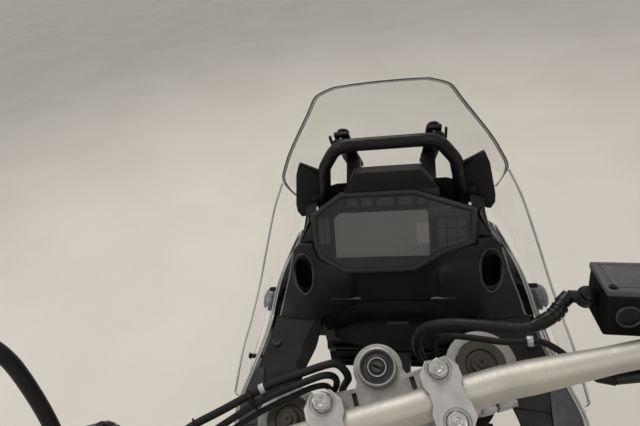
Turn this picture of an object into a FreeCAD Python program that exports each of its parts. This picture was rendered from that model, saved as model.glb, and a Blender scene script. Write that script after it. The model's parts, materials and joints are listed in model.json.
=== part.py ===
import FreeCAD, Part
import math
import os
import Sketcher
from FreeCAD import Placement, Rotation, Vector

# Front cockpit of an adventure motorcycle: frame head, fairing, screen, display and the whole steering.
# Millimetres. X to the rider's right, Y forward, Z up. The origin is the centre of the frame head's
# rear joint face. Steering pieces are drawn in the steering frame: x right, u forward and square to the
# steering axis, s up along it, with its zero in the middle of the head tube.

doc = FreeCAD.newDocument("motorcycle_cockpit")
sheet = doc.addObject("Spreadsheet::Sheet", "Sizes")

# Alias, millimetres or degrees, what it measures.
SIZES = (
    ("rake_angle", 27.0, "steering axis, back from vertical"),
    ("rest_turn", 17.0, "steering turned left as it is parked"),
    ("head_setback", 95.0, "head tube centre ahead of the joint face"),
    ("head_radius", 31.0, "head tube outside"),
    ("head_half", 82.0, "half the head tube's length"),
    ("head_bore", 24.0, "head tube inside"),
    ("seat_radius", 27.5, "bearing seat"),
    ("seat_depth", 16.0, "bearing seat depth"),
    ("run_gap", 0.05, "radial running clearance on the stem"),
    ("fit_gap", 0.1, "clearance between pieces that seat on each other"),
    ("joint_half_width", 62.0, "half width of the joint plate"),
    ("joint_half_height", 53.0, "half height of the joint plate"),
    ("joint_plate", 8.0, "thickness of the joint plate"),
    ("joint_bolt_side", 12.0, "joint bolts in from the plate's sides"),
    ("joint_bolt_end", 11.0, "joint bolts in from the plate's top and bottom"),
    ("spar_width", 28.0, "width of a frame spar at the joint plate"),
    ("joint_bolt_hole", 5.25, "joint bolt hole radius"),
    ("spar_half_height", 30.0, "half height of the frame spars"),
    ("web_half_width", 9.0, "half width of the middle web"),
    ("stay_seat_y", 142.0, "front face of the head tube's lug"),
    ("stay_half_width", 14.0, "half width of the fairing stay's tongue"),
    ("stem_radius", 15.0, "steering stem"),
    ("stem_collar", 21.0, "collar under the lower bearing"),
    ("adjuster_height", 10.0, "head tube to top yoke, filled by the stem's adjuster"),
    ("collar_height", 6.0, "head tube to bottom yoke, filled by the stem's collar"),
    ("bearing_gap", 0.4, "adjuster and collar clear of the head tube"),
    ("top_yoke_depth", 26.0, "depth of the top yoke"),
    ("bottom_yoke_depth", 32.0, "depth of the bottom yoke"),
    ("block_in", 54.0, "cable blocks inward of the fork tubes' middles"),
    ("fork_spread", 100.0, "fork tube from the middle"),
    ("fork_offset", 24.7, "fork tube ahead of the steering axis"),
    ("fork_radius", 25.0, "fork tube in the yokes"),
    ("fork_low_radius", 27.0, "fork tube below the yokes"),
    ("fork_bore", 21.6, "bore that the slider runs in"),
    ("fork_mouth", -348.0, "lower mouth of the fork tube"),
    ("clamp_wall", 9.5, "wall of the yokes round the fork tubes"),
    ("lock_forward", 50.0, "ignition lock ahead of the steering axis"),
    ("lock_radius", 17.5, "ignition lock barrel"),
    ("lock_rim", 20.0, "ignition lock rim"),
    ("clamp_x", 51.9, "handlebar clamp from the middle"),
    ("bolt_front_u", 16.0, "front clamp bolt"),
    ("bolt_rear_u", -28.0, "rear clamp bolt"),
    ("bar_u", -6.0, "handlebar ahead of the steering axis"),
    ("bar_s", 180.0, "handlebar height on the steering axis"),
    ("bar_radius", 14.3, "handlebar in its clamps"),
    ("bar_end_radius", 11.1, "handlebar under the grips"),
    ("cap_top", 198.0, "top of the clamp caps"),
    ("display_y", 252.0, "display centre, forward"),
    ("display_z", 180.0, "display centre, up"),
    ("display_tilt", 65.0, "turn of the display's face about X"),
    ("display_depth", 24.0, "depth of the display housing"),
    ("bezel_width", 7.0, "display bezel"),
    ("glass_thick", 2.2, "display glass"),
    ("panel_wall", 3.2, "moulded fairing panels"),
    ("screen_wall", 3.5, "windscreen"),
    ("screen_rake", 32.0, "windscreen back from vertical"),
    ("screen_curve", 231.0, "windscreen bend radius"),
    ("hoop_radius", 8.0, "accessory bar tube"),
    ("ear_half_width", 12.0, "half width of the holes in the cowl's ears"),
    ("ear_half_height", 23.0, "half height of the holes in the cowl's ears"),
    ("hose_radius", 5.0, "brake hose"),
    ("throttle_radius", 3.0, "throttle cable"),
    ("clutch_radius", 4.0, "clutch cable"),
    ("wiring_radius", 3.5, "wiring of the left controls"),
)


class Size(float):
    """A length or angle with the sheet expression that gives it."""

    def __new__(cls, value, text):
        made = float.__new__(cls, value)
        made.text = text
        return made

    def __add__(self, other):
        return Size(float(self) + float(other), f"({self.text} + {text_of(other)})")

    def __radd__(self, other):
        return Size(float(other) + float(self), f"({text_of(other)} + {self.text})")

    def __sub__(self, other):
        return Size(float(self) - float(other), f"({self.text} - {text_of(other)})")

    def __rsub__(self, other):
        return Size(float(other) - float(self), f"({text_of(other)} - {self.text})")

    def __mul__(self, other):
        return Size(float(self) * float(other), f"({self.text} * {text_of(other)})")

    __rmul__ = __mul__

    def __truediv__(self, other):
        return Size(float(self) / float(other), f"({self.text} / {text_of(other)})")

    def __neg__(self):
        return Size(-float(self), f"(-1 * {self.text})")


def text_of(value):
    return value.text if isinstance(value, Size) else repr(float(value))


class Sheet:
    """Every row of the sheet by its alias."""


sizes = Sheet()
for row, (alias, value, meaning) in enumerate(SIZES, 1):
    sheet.set(f"A{row}", str(value))
    sheet.setAlias(f"A{row}", alias)
    sheet.set(f"B{row}", meaning)
    setattr(sizes, alias, Size(value, f"Sizes.{alias}"))
doc.recompute()

# Heights on the steering axis that follow the head tube.
top_yoke_low = sizes.head_half + sizes.adjuster_height
top_yoke_high = top_yoke_low + sizes.top_yoke_depth
bottom_yoke_high = -(sizes.head_half + sizes.collar_height)
bottom_yoke_low = bottom_yoke_high - sizes.bottom_yoke_depth

X, Y, Z = Vector(1, 0, 0), Vector(0, 1, 0), Vector(0, 0, 1)
HERE = Placement()
head_centre = Vector(0, sizes.head_setback, 0)
HEAD = Placement(head_centre, Rotation(X, sizes.rake_angle))
STEER = HEAD.multiply(Placement(Vector(), Rotation(Z, sizes.rest_turn)))
nodes = []


def bind(item, prop, value):
    """Set a property to a number, or tie it to the sheet."""
    if isinstance(value, Size):
        item.setExpression(prop, value.text)
    else:
        setattr(item, prop, value)


def put(item, at, turn=Rotation()):
    """Place an object, with each coordinate that is a sheet size tied to it."""
    item.Placement = Placement(Vector(*at), turn)
    for axis, value in zip("xyz", at):
        if isinstance(value, Size):
            item.setExpression(f"Placement.Base.{axis}", value.text)
    return item


def cylinder(radius, length, at=(0, 0, 0), turn=Rotation()):
    item = doc.addObject("Part::Cylinder", "cylinder")
    bind(item, "Radius", radius)
    bind(item, "Height", length)
    return put(item, at, turn)


def cone(low_radius, high_radius, length, at=(0, 0, 0), turn=Rotation()):
    item = doc.addObject("Part::Cone", "cone")
    bind(item, "Radius1", low_radius)
    bind(item, "Radius2", high_radius)
    bind(item, "Height", length)
    return put(item, at, turn)


def box(lengths, at=(0, 0, 0), turn=Rotation()):
    item = doc.addObject("Part::Box", "box")
    for prop, value in zip(("Length", "Width", "Height"), lengths):
        bind(item, prop, value)
    return put(item, at, turn)


def ball(radius, at):
    item = doc.addObject("Part::Sphere", "ball")
    bind(item, "Radius", radius)
    return put(item, at)


def fuse(*pieces):
    item = doc.addObject("Part::MultiFuse", "fuse")
    item.Shapes = list(pieces)
    return item


def cut(base, *tools):
    item = doc.addObject("Part::Cut", "cut")
    item.Base = base
    item.Tool = tools[0] if len(tools) == 1 else fuse(*tools)
    return item


def common(base, tool):
    item = doc.addObject("Part::Common", "common")
    item.Base = base
    item.Tool = tool
    return item


def together(*pieces):
    """Like pieces that share a node without touching."""
    item = doc.addObject("Part::Compound", "pair")
    item.Links = list(pieces)
    return item


def mirrored(source, frame=HERE):
    """The source on the other side of a frame's middle plane."""
    item = doc.addObject("Part::Mirroring", "mirrored")
    item.Source = source
    item.Base = frame.Base
    item.Normal = frame.Rotation.multVec(X)
    return item


def rounded(base, radius, edges):
    item = doc.addObject("Part::Fillet", "rounded")
    item.Base = base
    item.Edges = [(edge, float(radius), float(radius)) for edge in edges]
    return item


def sketch(body, role, offset, outlines, circles=()):
    """A sketch of closed outlines and circles on one of the body's origin planes."""
    made = body.newObject("Sketcher::SketchObject", "sketch")
    plane = next(item for item in body.Origin.OriginFeatures if item.Role == role)
    made.AttachmentSupport = [(plane, "")]
    made.MapMode = "FlatFace"
    made.AttachmentOffset = Placement(Vector(0, 0, offset), Rotation())
    if isinstance(offset, Size):
        made.setExpression("AttachmentOffset.Base.z", offset.text)
    for outline in outlines:
        count = len(outline)
        first = made.GeometryCount
        for index, corner in enumerate(outline):
            after = outline[(index + 1) % count]
            made.addGeometry(Part.LineSegment(Vector(*corner, 0), Vector(*after, 0)), False)
        for index in range(count):
            ends = (first + index, 2, first + (index + 1) % count, 1)
            made.addConstraint(Sketcher.Constraint("Coincident", *ends))
        for index, corner in enumerate(outline):
            pin_point(made, first + index, 1, corner)
    for across, along, radius in circles:
        centre = Vector(across, along, 0)
        index = made.addGeometry(Part.Circle(centre, Z, float(radius)), False)
        tie(made, made.addConstraint(Sketcher.Constraint("Radius", index, float(radius))), radius)
        pin_point(made, index, 3, (across, along))
    return made


def pin_point(made, geometry, end, point):
    """Hold one sketch point at its two coordinates."""
    for kind, value in zip(("DistanceX", "DistanceY"), point):
        rule = Sketcher.Constraint(kind, -1, 1, geometry, end, float(value))
        tie(made, made.addConstraint(rule), value)


def tie(made, constraint, value):
    if isinstance(value, Size):
        made.setExpression(f"Constraints[{constraint}]", value.text)


def new_body():
    return doc.addObject("PartDesign::Body", "body")


def pad(body, role, start, length, outlines, circles=()):
    """A pad from start, along the plane's own normal: +Z of XY, -Y of XZ, +X of YZ."""
    drawn = sketch(body, role, start, outlines, circles)
    feature = body.newObject("PartDesign::Pad", "pad")
    feature.Profile = drawn
    bind(feature, "Length", length)
    return feature


def pocket(body, role, start, depth, outlines, circles=()):
    """A pocket from start, against the plane's own normal."""
    drawn = sketch(body, role, start, outlines, circles)
    feature = body.newObject("PartDesign::Pocket", "pocket")
    feature.Profile = drawn
    bind(feature, "Length", depth)
    return feature


def slab(role, start, length, outline, circles=()):
    """A flat piece of one outline."""
    body = new_body()
    pad(body, role, start, length, [outline], circles)
    return body


def turned(profile):
    """A piece turned about Z from its half section: radius, height."""
    body = new_body()
    drawn = sketch(body, "XZ_Plane", 0, [profile])
    feature = body.newObject("PartDesign::Revolution", "turned")
    feature.Profile = drawn
    feature.ReferenceAxis = (drawn, ["V_Axis"])
    feature.Angle = 360
    return body


def rail(points, bend):
    """A wire of straight runs joined by tangent arcs of the bend radius, or smaller where runs are short."""
    edges = []
    start = Vector(*points[0])
    for before, corner, after in zip(points, points[1:], points[2:]):
        here = Vector(*corner)
        back = Vector(*before) - here
        ahead = Vector(*after) - here
        reach = 0.45 * min(back.Length, ahead.Length)
        back.normalize()
        ahead.normalize()
        half_turn = (math.pi - back.getAngle(ahead)) / 2
        setback = min(bend * math.tan(half_turn), reach)
        enter = here + back * setback
        leave = here + ahead * setback
        inward = (back + ahead).normalize()
        radius = setback / math.tan(half_turn)
        middle = here + inward * (radius / math.cos(half_turn) - radius)
        edges.append(Part.LineSegment(start, enter).toShape())
        edges.append(Part.Arc(enter, middle, leave).toShape())
        start = leave
    edges.append(Part.LineSegment(start, Vector(*points[-1])).toShape())
    return Part.Wire(edges)


def tube(points, radius, bend):
    """A round bar, hose or cable along a rail."""
    wire = rail(points, bend)
    direction = Vector(*points[1]) - Vector(*points[0])
    ring = Part.Wire(Part.makeCircle(float(radius), Vector(*points[0]), direction))
    item = doc.addObject("Part::Feature", "tube")
    item.Shape = wire.makePipeShell([ring], True, False)
    return item


def panel(sections, across):
    """A thin panel through sections, each a line of points with its wall set off along across."""
    rings = []
    for section in sections:
        ring = doc.addObject("Part::Polygon", "section")
        near = [Vector(*point) for point in section]
        far = [point + across for point in near]
        ring.Nodes = near + far[::-1]
        ring.Close = True
        rings.append(ring)
    item = doc.addObject("Part::Loft", "panel")
    item.Sections = rings
    item.Solid = True
    item.Ruled = True
    return item


def flip(points):
    return [(-x, *rest) for x, *rest in points]


def inset(outline, step):
    """An anticlockwise outline moved inward by a step."""
    lines = []
    count = len(outline)
    for index in range(count):
        (ax, ay), (bx, by) = outline[index], outline[(index + 1) % count]
        length = math.hypot(bx - ax, by - ay)
        across = ((ay - by) / length, (bx - ax) / length)
        lines.append((ax + across[0] * step, ay + across[1] * step, (bx - ax) / length, (by - ay) / length))
    corners = []
    for index in range(count):
        ax, ay, adx, ady = lines[index - 1]
        bx, by, bdx, bdy = lines[index]
        run = ((bx - ax) * bdy - (by - ay) * bdx) / (adx * bdy - ady * bdx)
        corners.append((ax + adx * run, ay + ady * run))
    return corners


def carry(item, frame):
    """Move a piece from a frame of its own to the frame around it."""
    for axis in "xyz":
        item.setExpression(f"Placement.Base.{axis}", None)
    item.Placement = frame.multiply(item.Placement)
    return item


def node(name, item, frame=HERE):
    """Name a sub-part and move it from its own frame to the row's."""
    item.Label = name
    if frame is not HERE:
        carry(item, frame)
    nodes.append(item)
    return item


def pair_node(name, right, frame=HERE, middle=None):
    """A left and a right piece as one sub-part, mirrored across a frame's middle plane."""
    if frame is not HERE:
        carry(right, frame)
    return node(name, together(right, mirrored(right, middle or frame)))


def side_nodes(name, right, frame=HERE):
    """A left and a right piece as two sub-parts."""
    node(f"{name}_right", right, frame)
    node(f"{name}_left", mirrored(right, frame))


# Frame head: head tube, middle web and two spars to a joint plate, with a lug for the fairing stay.
def frame_head():
    tilt = Rotation(X, sizes.rake_angle)
    half = sizes.head_half
    foot = HEAD.multVec(Vector(0, 0, -half))
    top_seat = HEAD.multVec(Vector(0, 0, half - sizes.seat_depth))
    outer = cylinder(sizes.head_radius, half * 2, tuple(foot), tilt)
    bore = cylinder(sizes.head_bore, half * 2, tuple(foot), tilt)
    low_seat = cylinder(sizes.seat_radius, sizes.seat_depth, tuple(foot), tilt)
    high_seat = cylinder(sizes.seat_radius, sizes.seat_depth, tuple(top_seat), tilt)
    web_width = sizes.web_half_width
    web_outline = [(0, -50), (124, -57), (66, 57), (0, 44)]
    web = slab("YZ_Plane", -web_width, web_width * 2, web_outline)
    wide, high = sizes.joint_half_width, sizes.joint_half_height
    spar_outer = wide + 2
    spar_outline = [(12, 100), (spar_outer - sizes.spar_width, 0), (spar_outer, 0), (30, 100)]
    spar = slab("XY_Plane", -sizes.spar_half_height, sizes.spar_half_height * 2, spar_outline)
    plate_outline = [(-wide, -high), (wide, -high), (wide, high), (-wide, high)]
    across, up = wide - sizes.joint_bolt_side, high - sizes.joint_bolt_end
    holes = [(x, z, sizes.joint_bolt_hole) for x in (-across, across) for z in (-up, up)]
    plate = slab("XZ_Plane", -sizes.joint_plate, sizes.joint_plate, plate_outline, holes)
    lug_width, lug_height = 40.0, 44.0
    lug_place = (-lug_width / 2, sizes.head_setback, -lug_height / 2)
    lug = box((lug_width, sizes.stay_seat_y - sizes.head_setback, lug_height), lug_place)
    return cut(fuse(outer, web, spar, mirrored(spar), plate, lug), bore, low_seat, high_seat)


node("frame_head", frame_head())


# Two bearings in the head tube, which the stem runs in.
def head_bearings():
    inner = sizes.stem_radius + sizes.run_gap
    outer = sizes.seat_radius - sizes.run_gap
    half, depth = sizes.head_half, sizes.seat_depth
    low = turned([(inner, -half), (outer, -half), (outer, depth - half), (inner, depth - half)])
    high = turned([(inner, half - depth), (outer, half - depth), (outer, half), (inner, half)])
    return together(low, high)


node("head_bearings", head_bearings(), HEAD)


# The display's face: right, up the face, towards the rider.
DISPLAY = Placement(Vector(0, sizes.display_y, sizes.display_z), Rotation(X, sizes.display_tilt))

# The plane behind the windscreen: right, up the screen, towards the rider.
SCREEN = Placement(Vector(0, 317, 286), Rotation(X, 90 + sizes.screen_rake))
arm_face, arm_wall = 0.6, 5.0

# Right side cowl, sections square to Y: forward; top edge, shoulder and bottom edge as x and z.
cowl_rows = (
    (120, (206, 10), (210, -30), (206, -75)),
    (145, (190, 38), (205, 0), (208, -80)),
    (175, (176, 62), (196, 20), (206, -85)),
    (212, (168, 79), (186, 40), (198, -80)),
    (243, (153, 122), (168, 84), (186, -70)),
    (285, (126, 166), (152, 95), (160, -50)),
    (330, (88, 160), (110, 80), (104, -30)),
)

# Right side screen, outside the side cowl: outer edge, inner edge.
screen_rows = (
    ((144, 306, 231), (119, 304.2, 186)),
    ((160, 296, 196), (136, 291, 156)),
    ((175, 275, 150), (158, 268, 120)),
    ((188, 249, 106), (176, 243, 84)),
    ((198, 216, 74), (190, 212, 50)),
    ((207, 178, 48), (200, 176, 24)),
    ((215, 137, 12), (210, 136, -12)),
)


def cowl_panel(start, wall):
    """The right side cowl's surface moved across by start, with a wall from there."""
    sections = [[(x + float(start), y, z) for x, z in line] for y, *line in cowl_rows]
    return panel(sections, Vector(wall, 0, 0))


# Fairing stay: a tongue bolted to the head tube's lug, a cross beam and two uprights.
beam_front, beam_rear, beam_low, beam_high, beam_half = 242.0, 226.0, 14.0, 54.0, 104.0
lamp_top, lamp_rear, lamp_front = 96.0, 280.0, 340.0
arm_inner, arm_width, bracket_width = 40.0, 18.0, 24.0
lamp_arm = {"inner": 44.0, "low": 20.0, "width": 6.0, "height": 30.0}
side_reach = {"length": 70.0, "low": 24.0, "height": 20.0, "lap": 2.0}


def fairing_stay():
    seat = sizes.stay_seat_y
    half = sizes.stay_half_width
    tongue_side = [(seat, -18), (206, -8), (beam_front, beam_low), (beam_front, beam_high),
                   (beam_rear, beam_high), (198, 36), (seat, 22)]
    tongue = slab("YZ_Plane", -half, half * 2, tongue_side)
    beam = box((beam_half * 2, beam_front - beam_rear, beam_high - beam_low), (-beam_half, beam_rear, beam_low))
    ends = [SCREEN.multVec(Vector(0, up, arm_face + arm_wall + 0.05)) for up in (-60, -40)]
    arm_seat = [(end.y, end.z) for end in ends]
    arm_side = [(beam_rear, beam_high - 20), (beam_front, beam_high - 20), (256, beam_high), (270, 118),
                (296, 172), (318, 214), *arm_seat, (301, 222), (282, 180), (256, 125),
                (238, beam_high), (beam_rear, beam_high)]
    arm = slab("YZ_Plane", arm_inner, arm_width, arm_side)
    lamp_lengths = (lamp_arm["width"], lamp_rear - beam_front, lamp_arm["height"])
    lamp_bar = box(lamp_lengths, (lamp_arm["inner"], beam_front, lamp_arm["low"]))
    rear_face = -(sizes.display_depth + 0.05)
    ends = [DISPLAY.multVec(Vector(0, up, rear_face)) for up in (0, -36)]
    face_seat = [(end.y, end.z) for end in ends]
    bracket_side = [(238, 20), (252, 20), (256, 70), (274, 140), *face_seat, (253, 122), (251, 60), (238, 50)]
    bracket = slab("YZ_Plane", -bracket_width / 2, bracket_width, bracket_side)
    reach_lengths = (side_reach["length"], beam_front - beam_rear, side_reach["height"])
    reach = box(reach_lengths, (beam_half - side_reach["lap"], beam_rear, side_reach["low"]))
    side_arm = cut(reach, cowl_panel(-sizes.panel_wall, side_reach["length"]))
    right = fuse(arm, lamp_bar, side_arm)
    return fuse(tongue, beam, bracket, right, mirrored(right))


node("fairing_stay", fairing_stay())

# Display: an octagon with longer cuts on its right.
display_outline = [(-104, 27), (-103, -16), (-97, -32), (-64, -52), (26, -51), (64, -29),
                   (103, -17), (104, 27), (30, 54), (-64, 54)]


back_step, glass_seat = 8.0, 0.6


def display_housing():
    depth = sizes.display_depth
    body = new_body()
    pad(body, "XY_Plane", -depth / 2, depth / 2, [display_outline])
    pad(body, "XY_Plane", -depth, depth / 2, [inset(display_outline, back_step)])
    well = inset(display_outline, float(sizes.bezel_width))
    pocket(body, "XY_Plane", 0, sizes.glass_thick + glass_seat, [well])
    return body


def display_glass():
    pane = inset(display_outline, sizes.bezel_width + sizes.fit_gap)
    floor = -(sizes.glass_thick + glass_seat)
    return slab("XY_Plane", floor, sizes.glass_thick, pane)


node("display_housing", display_housing(), DISPLAY)
node("display_glass", display_glass(), DISPLAY)


# Hood between the display and the accessory bar.
def display_hood():
    low = [(-60, 276, 228.45), (60, 276, 228.45), (60, 298, 218.2), (-60, 298, 218.2)]
    high = [(-43, 278, 254), (39, 278, 254), (39, 294, 254), (-43, 294, 254)]
    rings = []
    for points in (low, high):
        ring = doc.addObject("Part::Polygon", "section")
        ring.Nodes = [Vector(*point) for point in points]
        ring.Close = True
        rings.append(ring)
    item = doc.addObject("Part::Loft", "hood")
    item.Sections = rings
    item.Solid = True
    item.Ruled = True
    return item


node("display_hood", display_hood())


# Instrument cowl: height, then x and y of each point from the middle to the outer edge of the right ear.
cowl_heights = (
    (172, ((0, 252), (50, 250), (84, 246), (106, 243.5), (118, 244.5), (127, 246.8))),
    (150, ((0, 244), (50, 243), (84, 238), (106, 234), (120, 235), (133, 241.5))),
    (126, ((0, 246), (46, 243), (62, 232), (105, 223), (125, 224), (140, 233.4))),
    (100, ((0, 244), (46, 240), (62, 228), (104, 212), (128, 216), (149.5, 227.5))),
    (78, ((0, 240), (46, 237), (66, 226), (104, 206), (130, 206), (157, 210))),
)
ear_hole = (117.5, 135.5)
rim_width, rim_stand = 3.0, 2.5
slots_across = ((-92, 41), (46, 28))
slot_low, slot_height = 81.0, 3.5
# A plan through the cowl from behind it to ahead of it, for what goes through.
through_start, through_depth = 190.0, 80.0


def cowl_surface(start, wall):
    """The instrument cowl's surface moved forward by start, with a wall from there."""
    sections = []
    for height, half in cowl_heights:
        right = [(x, y + float(start), height) for x, y in half]
        sections.append(flip(right[:0:-1]) + right)
    return panel(sections, Vector(0, wall, 0))


def oval(across, up):
    """A flat oval round an ear hole, as a post along Y through the cowl."""
    turns = [2 * math.pi * step / 20 for step in range(20)]
    outline = [(ear_hole[0] + across * math.cos(turn), ear_hole[1] + up * math.sin(turn)) for turn in turns]
    return slab("XZ_Plane", -through_start - through_depth, through_depth, outline)


def instrument_cowl():
    rim_plan = oval(sizes.ear_half_width + rim_width, sizes.ear_half_height + rim_width)
    rim = common(rim_plan, cowl_surface(-rim_stand, rim_stand * 2))
    hole = oval(sizes.ear_half_width, sizes.ear_half_height)
    window = carry(slab("XY_Plane", -60, 110, inset(display_outline, -sizes.fit_gap)), DISPLAY)
    slots = [box((length, through_depth, slot_height), (start, through_start, slot_low))
             for start, length in slots_across]
    corner = slab("XZ_Plane", -through_start - through_depth, through_depth, [(119, 173), (145, 147), (145, 173)])
    shell = fuse(cowl_surface(0, sizes.panel_wall), rim, mirrored(rim))
    return cut(shell, window, hole, mirrored(hole), corner, mirrored(corner), *slots)


node("instrument_cowl", instrument_cowl())


# Gloss trim from the cowl's outer edge to the top edge of the side cowl: height, inner and outer edge.
def side_trim():
    rows = (
        (78.1, (157.1, 213.3), (167.2, 208.5)),
        (100, (149.6, 230.8), (160.2, 224.1)),
        (126, (140.1, 236.7), (150.2, 243.7)),
        (150, (133.1, 244.8), (135.3, 266.4)),
        (161, (130.7, 247.5), (128.4, 276.8)),
        (172, (121.2, 249.5), (120.4, 282.6)),
        (194, (107, 266), (114, 290)),
    )
    sections = [[(x, y, z) for x, y in line] for z, *line in rows]
    return panel(sections, Vector(-2, 2.4, 0))


side_nodes("side_trim", side_trim())


# Shroud from the cowl's lower edge down to the stay's cross beam.
def lower_shroud():
    rows = (
        (77.9, ((0, 239), (46, 236), (66, 225.5), (98, 209))),
        (66, ((0, 229), (46, 228), (66, 219), (98, 207))),
        (beam_high + 0.05, ((0, 224), (46, 224), (66, 217), (94, 207))),
    )
    sections = [flip([(x, y, z) for x, y in half[:0:-1]]) + [(x, y, z) for x, y in half] for z, half in rows]
    return panel(sections, Vector(0, sizes.panel_wall, 0))


node("lower_shroud", lower_shroud())


# Loom tray on the stay's tongue, from the shroud back to the clear space round the steering.
def loom_tray():
    rows = ((220, 53.45, 88), (205, 43.8, 84), (188, 36.9, 26))
    sections = [((-half, y, z), (half, y, z)) for y, z, half in rows]
    return panel(sections, Vector(0, 0, -sizes.panel_wall))


node("loom_tray", loom_tray())


# Accessory bar: one bent tube on the cross beam.
hoop_side = [(60, 281, 291), (81, 290, 258), (89, 301, 204), (90, 280, 150), (90, 234, 92), (90, 234, beam_high)]
hoop_points = flip(hoop_side[::-1]) + hoop_side
hoop = node("accessory_bar", tube(hoop_points, sizes.hoop_radius, 30))

# Screen arms and knobs, drawn on the plane behind the screen.
knob_x = 57.0
arm_outline = [(48, 14), (66, 14), (63, -40), (58, -64), (38, -64), (42, -40)]


knob_radius, knob_height, shank_radius, nut_radius, nut_height = 10.0, 13.0, 4.0, 8.0, 3.0
screen_bolt_hole = shank_radius + sizes.fit_gap


def screen_arm():
    return slab("XY_Plane", arm_face, arm_wall, arm_outline, [(knob_x, 0, screen_bolt_hole)])


def screen_knob():
    foot, nut_foot = arm_face + arm_wall, -10.0
    knob = cylinder(knob_radius, knob_height, (knob_x, 0, foot))
    shank = cylinder(shank_radius, foot - nut_foot, (knob_x, 0, nut_foot))
    return fuse(knob, shank, cylinder(nut_radius, nut_height, (knob_x, 0, nut_foot)))


pair_node("screen_arms", screen_arm(), SCREEN, HERE)
pair_node("screen_knobs", screen_knob(), SCREEN, HERE)


# Windscreen: a bent sheet leaned back and trimmed to its outline.
def windscreen():
    bend, wall = sizes.screen_curve, sizes.screen_wall
    low, high, half = 182.0, 376.0, 165.0
    lean = math.tan(math.radians(sizes.screen_rake))
    front_y = 355 + (240 - low) * lean
    centre_y = front_y - bend
    arcs = []
    for radius in (float(bend), bend + wall):
        angle = math.asin(half / float(radius))
        ends = [Vector(radius * math.sin(a), centre_y + radius * math.cos(a), low) for a in (-angle, 0, angle)]
        arcs.append(Part.Arc(*ends).toShape())
    sides = []
    for end in (0, 1):
        ends = [edge.Vertexes[end].Point for edge in arcs]
        sides.append(Part.LineSegment(*ends).toShape())
    face = Part.Face(Part.Wire(Part.__sortEdges__(arcs + sides)))
    sheet_item = doc.addObject("Part::Feature", "bent_sheet")
    sheet_item.Shape = face.extrude(Vector(0, -(high - low) * lean, high - low))
    half_outline = [(50, 366), (66, 361), (75, 355), (86, 337), (101, 314), (119, 286), (132, 262),
                    (144, 231), (139, 190), (130, 186)]
    outline = half_outline + [(-x, z) for x, z in half_outline[::-1]]
    blank_front, blank_depth = 440.0, 260.0
    blank = slab("XZ_Plane", -blank_front, blank_depth, outline)
    depth = 30.0
    holes = [carry(cylinder(screen_bolt_hole, depth, (side * knob_x, 0, -depth / 2)), SCREEN) for side in (-1, 1)]
    return cut(common(sheet_item, blank), *holes)


node("windscreen", windscreen())


# Side screens, flared back outside the side cowls.
side_nodes("side_screen", panel(screen_rows, Vector(sizes.screen_wall, 0, 0)))

# Deflector plates between the accessory bar and the screen.
deflector_outline = [(99.5, 196), (117, 186), (122, 196), (115, 262), (84, 246), (97, 216)]


deflector_y, deflector_wall = 304.0, 4.0
clip_size, clip_place = (17, 10, 12), (89, 293, 206)


def deflector():
    plate = slab("XZ_Plane", -deflector_y, deflector_wall, deflector_outline)
    clip = box(clip_size, clip_place)
    return cut(fuse(plate, clip), hoop)


pair_node("deflectors", deflector())


# Side cowl with the two stand-offs of its side screen.
post_spots, post_radius, post_reach, beyond_reach = [(183, 177, 36), (160, 246, 95)], 4.0, 40.0, 60.0


def side_cowl():
    outer = cowl_panel(0, -sizes.panel_wall)
    posts = [cylinder(post_radius, post_reach, spot, Rotation(Y, 90)) for spot in post_spots]
    beyond = panel(screen_rows, Vector(beyond_reach, 0, 0))
    return fuse(outer, *[cut(post, beyond) for post in posts])


side_nodes("side_cowl", side_cowl())


# Inner panel from the cowl back to the tank: inner edge, outer edge.
def inner_panel():
    rows = (
        ((106, 208, 78), (162, 212.5, 78)),
        ((122, 178, 60), (169, 178, 62)),
        ((126, 147, 46), (183, 147, 40)),
        ((130, 120, 22), (201, 120, 10)),
    )
    return panel(rows, Vector(0, 0, -sizes.panel_wall))


side_nodes("inner_panel", inner_panel())


# Headlight and the nose over it.
def headlight_housing():
    body = new_body()
    outline = [(-70, -10), (70, -10), (92, 40), (70, lamp_top), (-70, lamp_top), (-92, 40)]
    pad(body, "XZ_Plane", -lamp_front, lamp_front - lamp_rear, [outline])
    return body


node("headlight_housing", headlight_housing())
lens_outline = [(-62, -4), (62, -4), (84, 40), (62, 90), (-62, 90), (-84, 40)]
lens_depth = 12.0
node("headlight_lens", slab("XZ_Plane", -lamp_front - lens_depth, lens_depth, lens_outline))


def nose_cowl():
    # Forward, then half width, edge height and middle height.
    rows = (
        (300, 88, 160, 178),
        (345, 84, 152, 176),
        (374, 72, 134, 160),
        (392, 60, 112, 132),
        (368, 66, 100, 106),
    )
    sections = [((-half, y, edge), (0, y, crown), (half, y, edge)) for y, half, edge, crown in rows]
    return panel(sections, Vector(0, 0, -sizes.panel_wall))


node("nose_cowl", nose_cowl())


# Turn signal: a short stalk and a rounded lamp.
signal_place, stalk_radius, stalk_length, signal_size, signal_round = (140, 258, 62), 7.0, 40.0, (21, 34, 26), 8.0


def turn_signal():
    across, forward, up = signal_place
    length, width, height = signal_size
    stalk = cylinder(stalk_radius, stalk_length, signal_place, Rotation(Y, 90))
    corner = (across + stalk_length - stalk_radius + 2, forward - width / 2, up - height / 2)
    lamp = rounded(box(signal_size, corner), signal_round, range(1, 13))
    return cut(fuse(stalk, lamp), cowl_panel(0, -beyond_reach))


side_nodes("turn_signal", turn_signal())


# Steering stem with its collar and its head on the top yoke.
stem_foot, stem_head, stem_head_height, adjuster_radius = 6.0, 4.0, 9.0, 24.0


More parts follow.
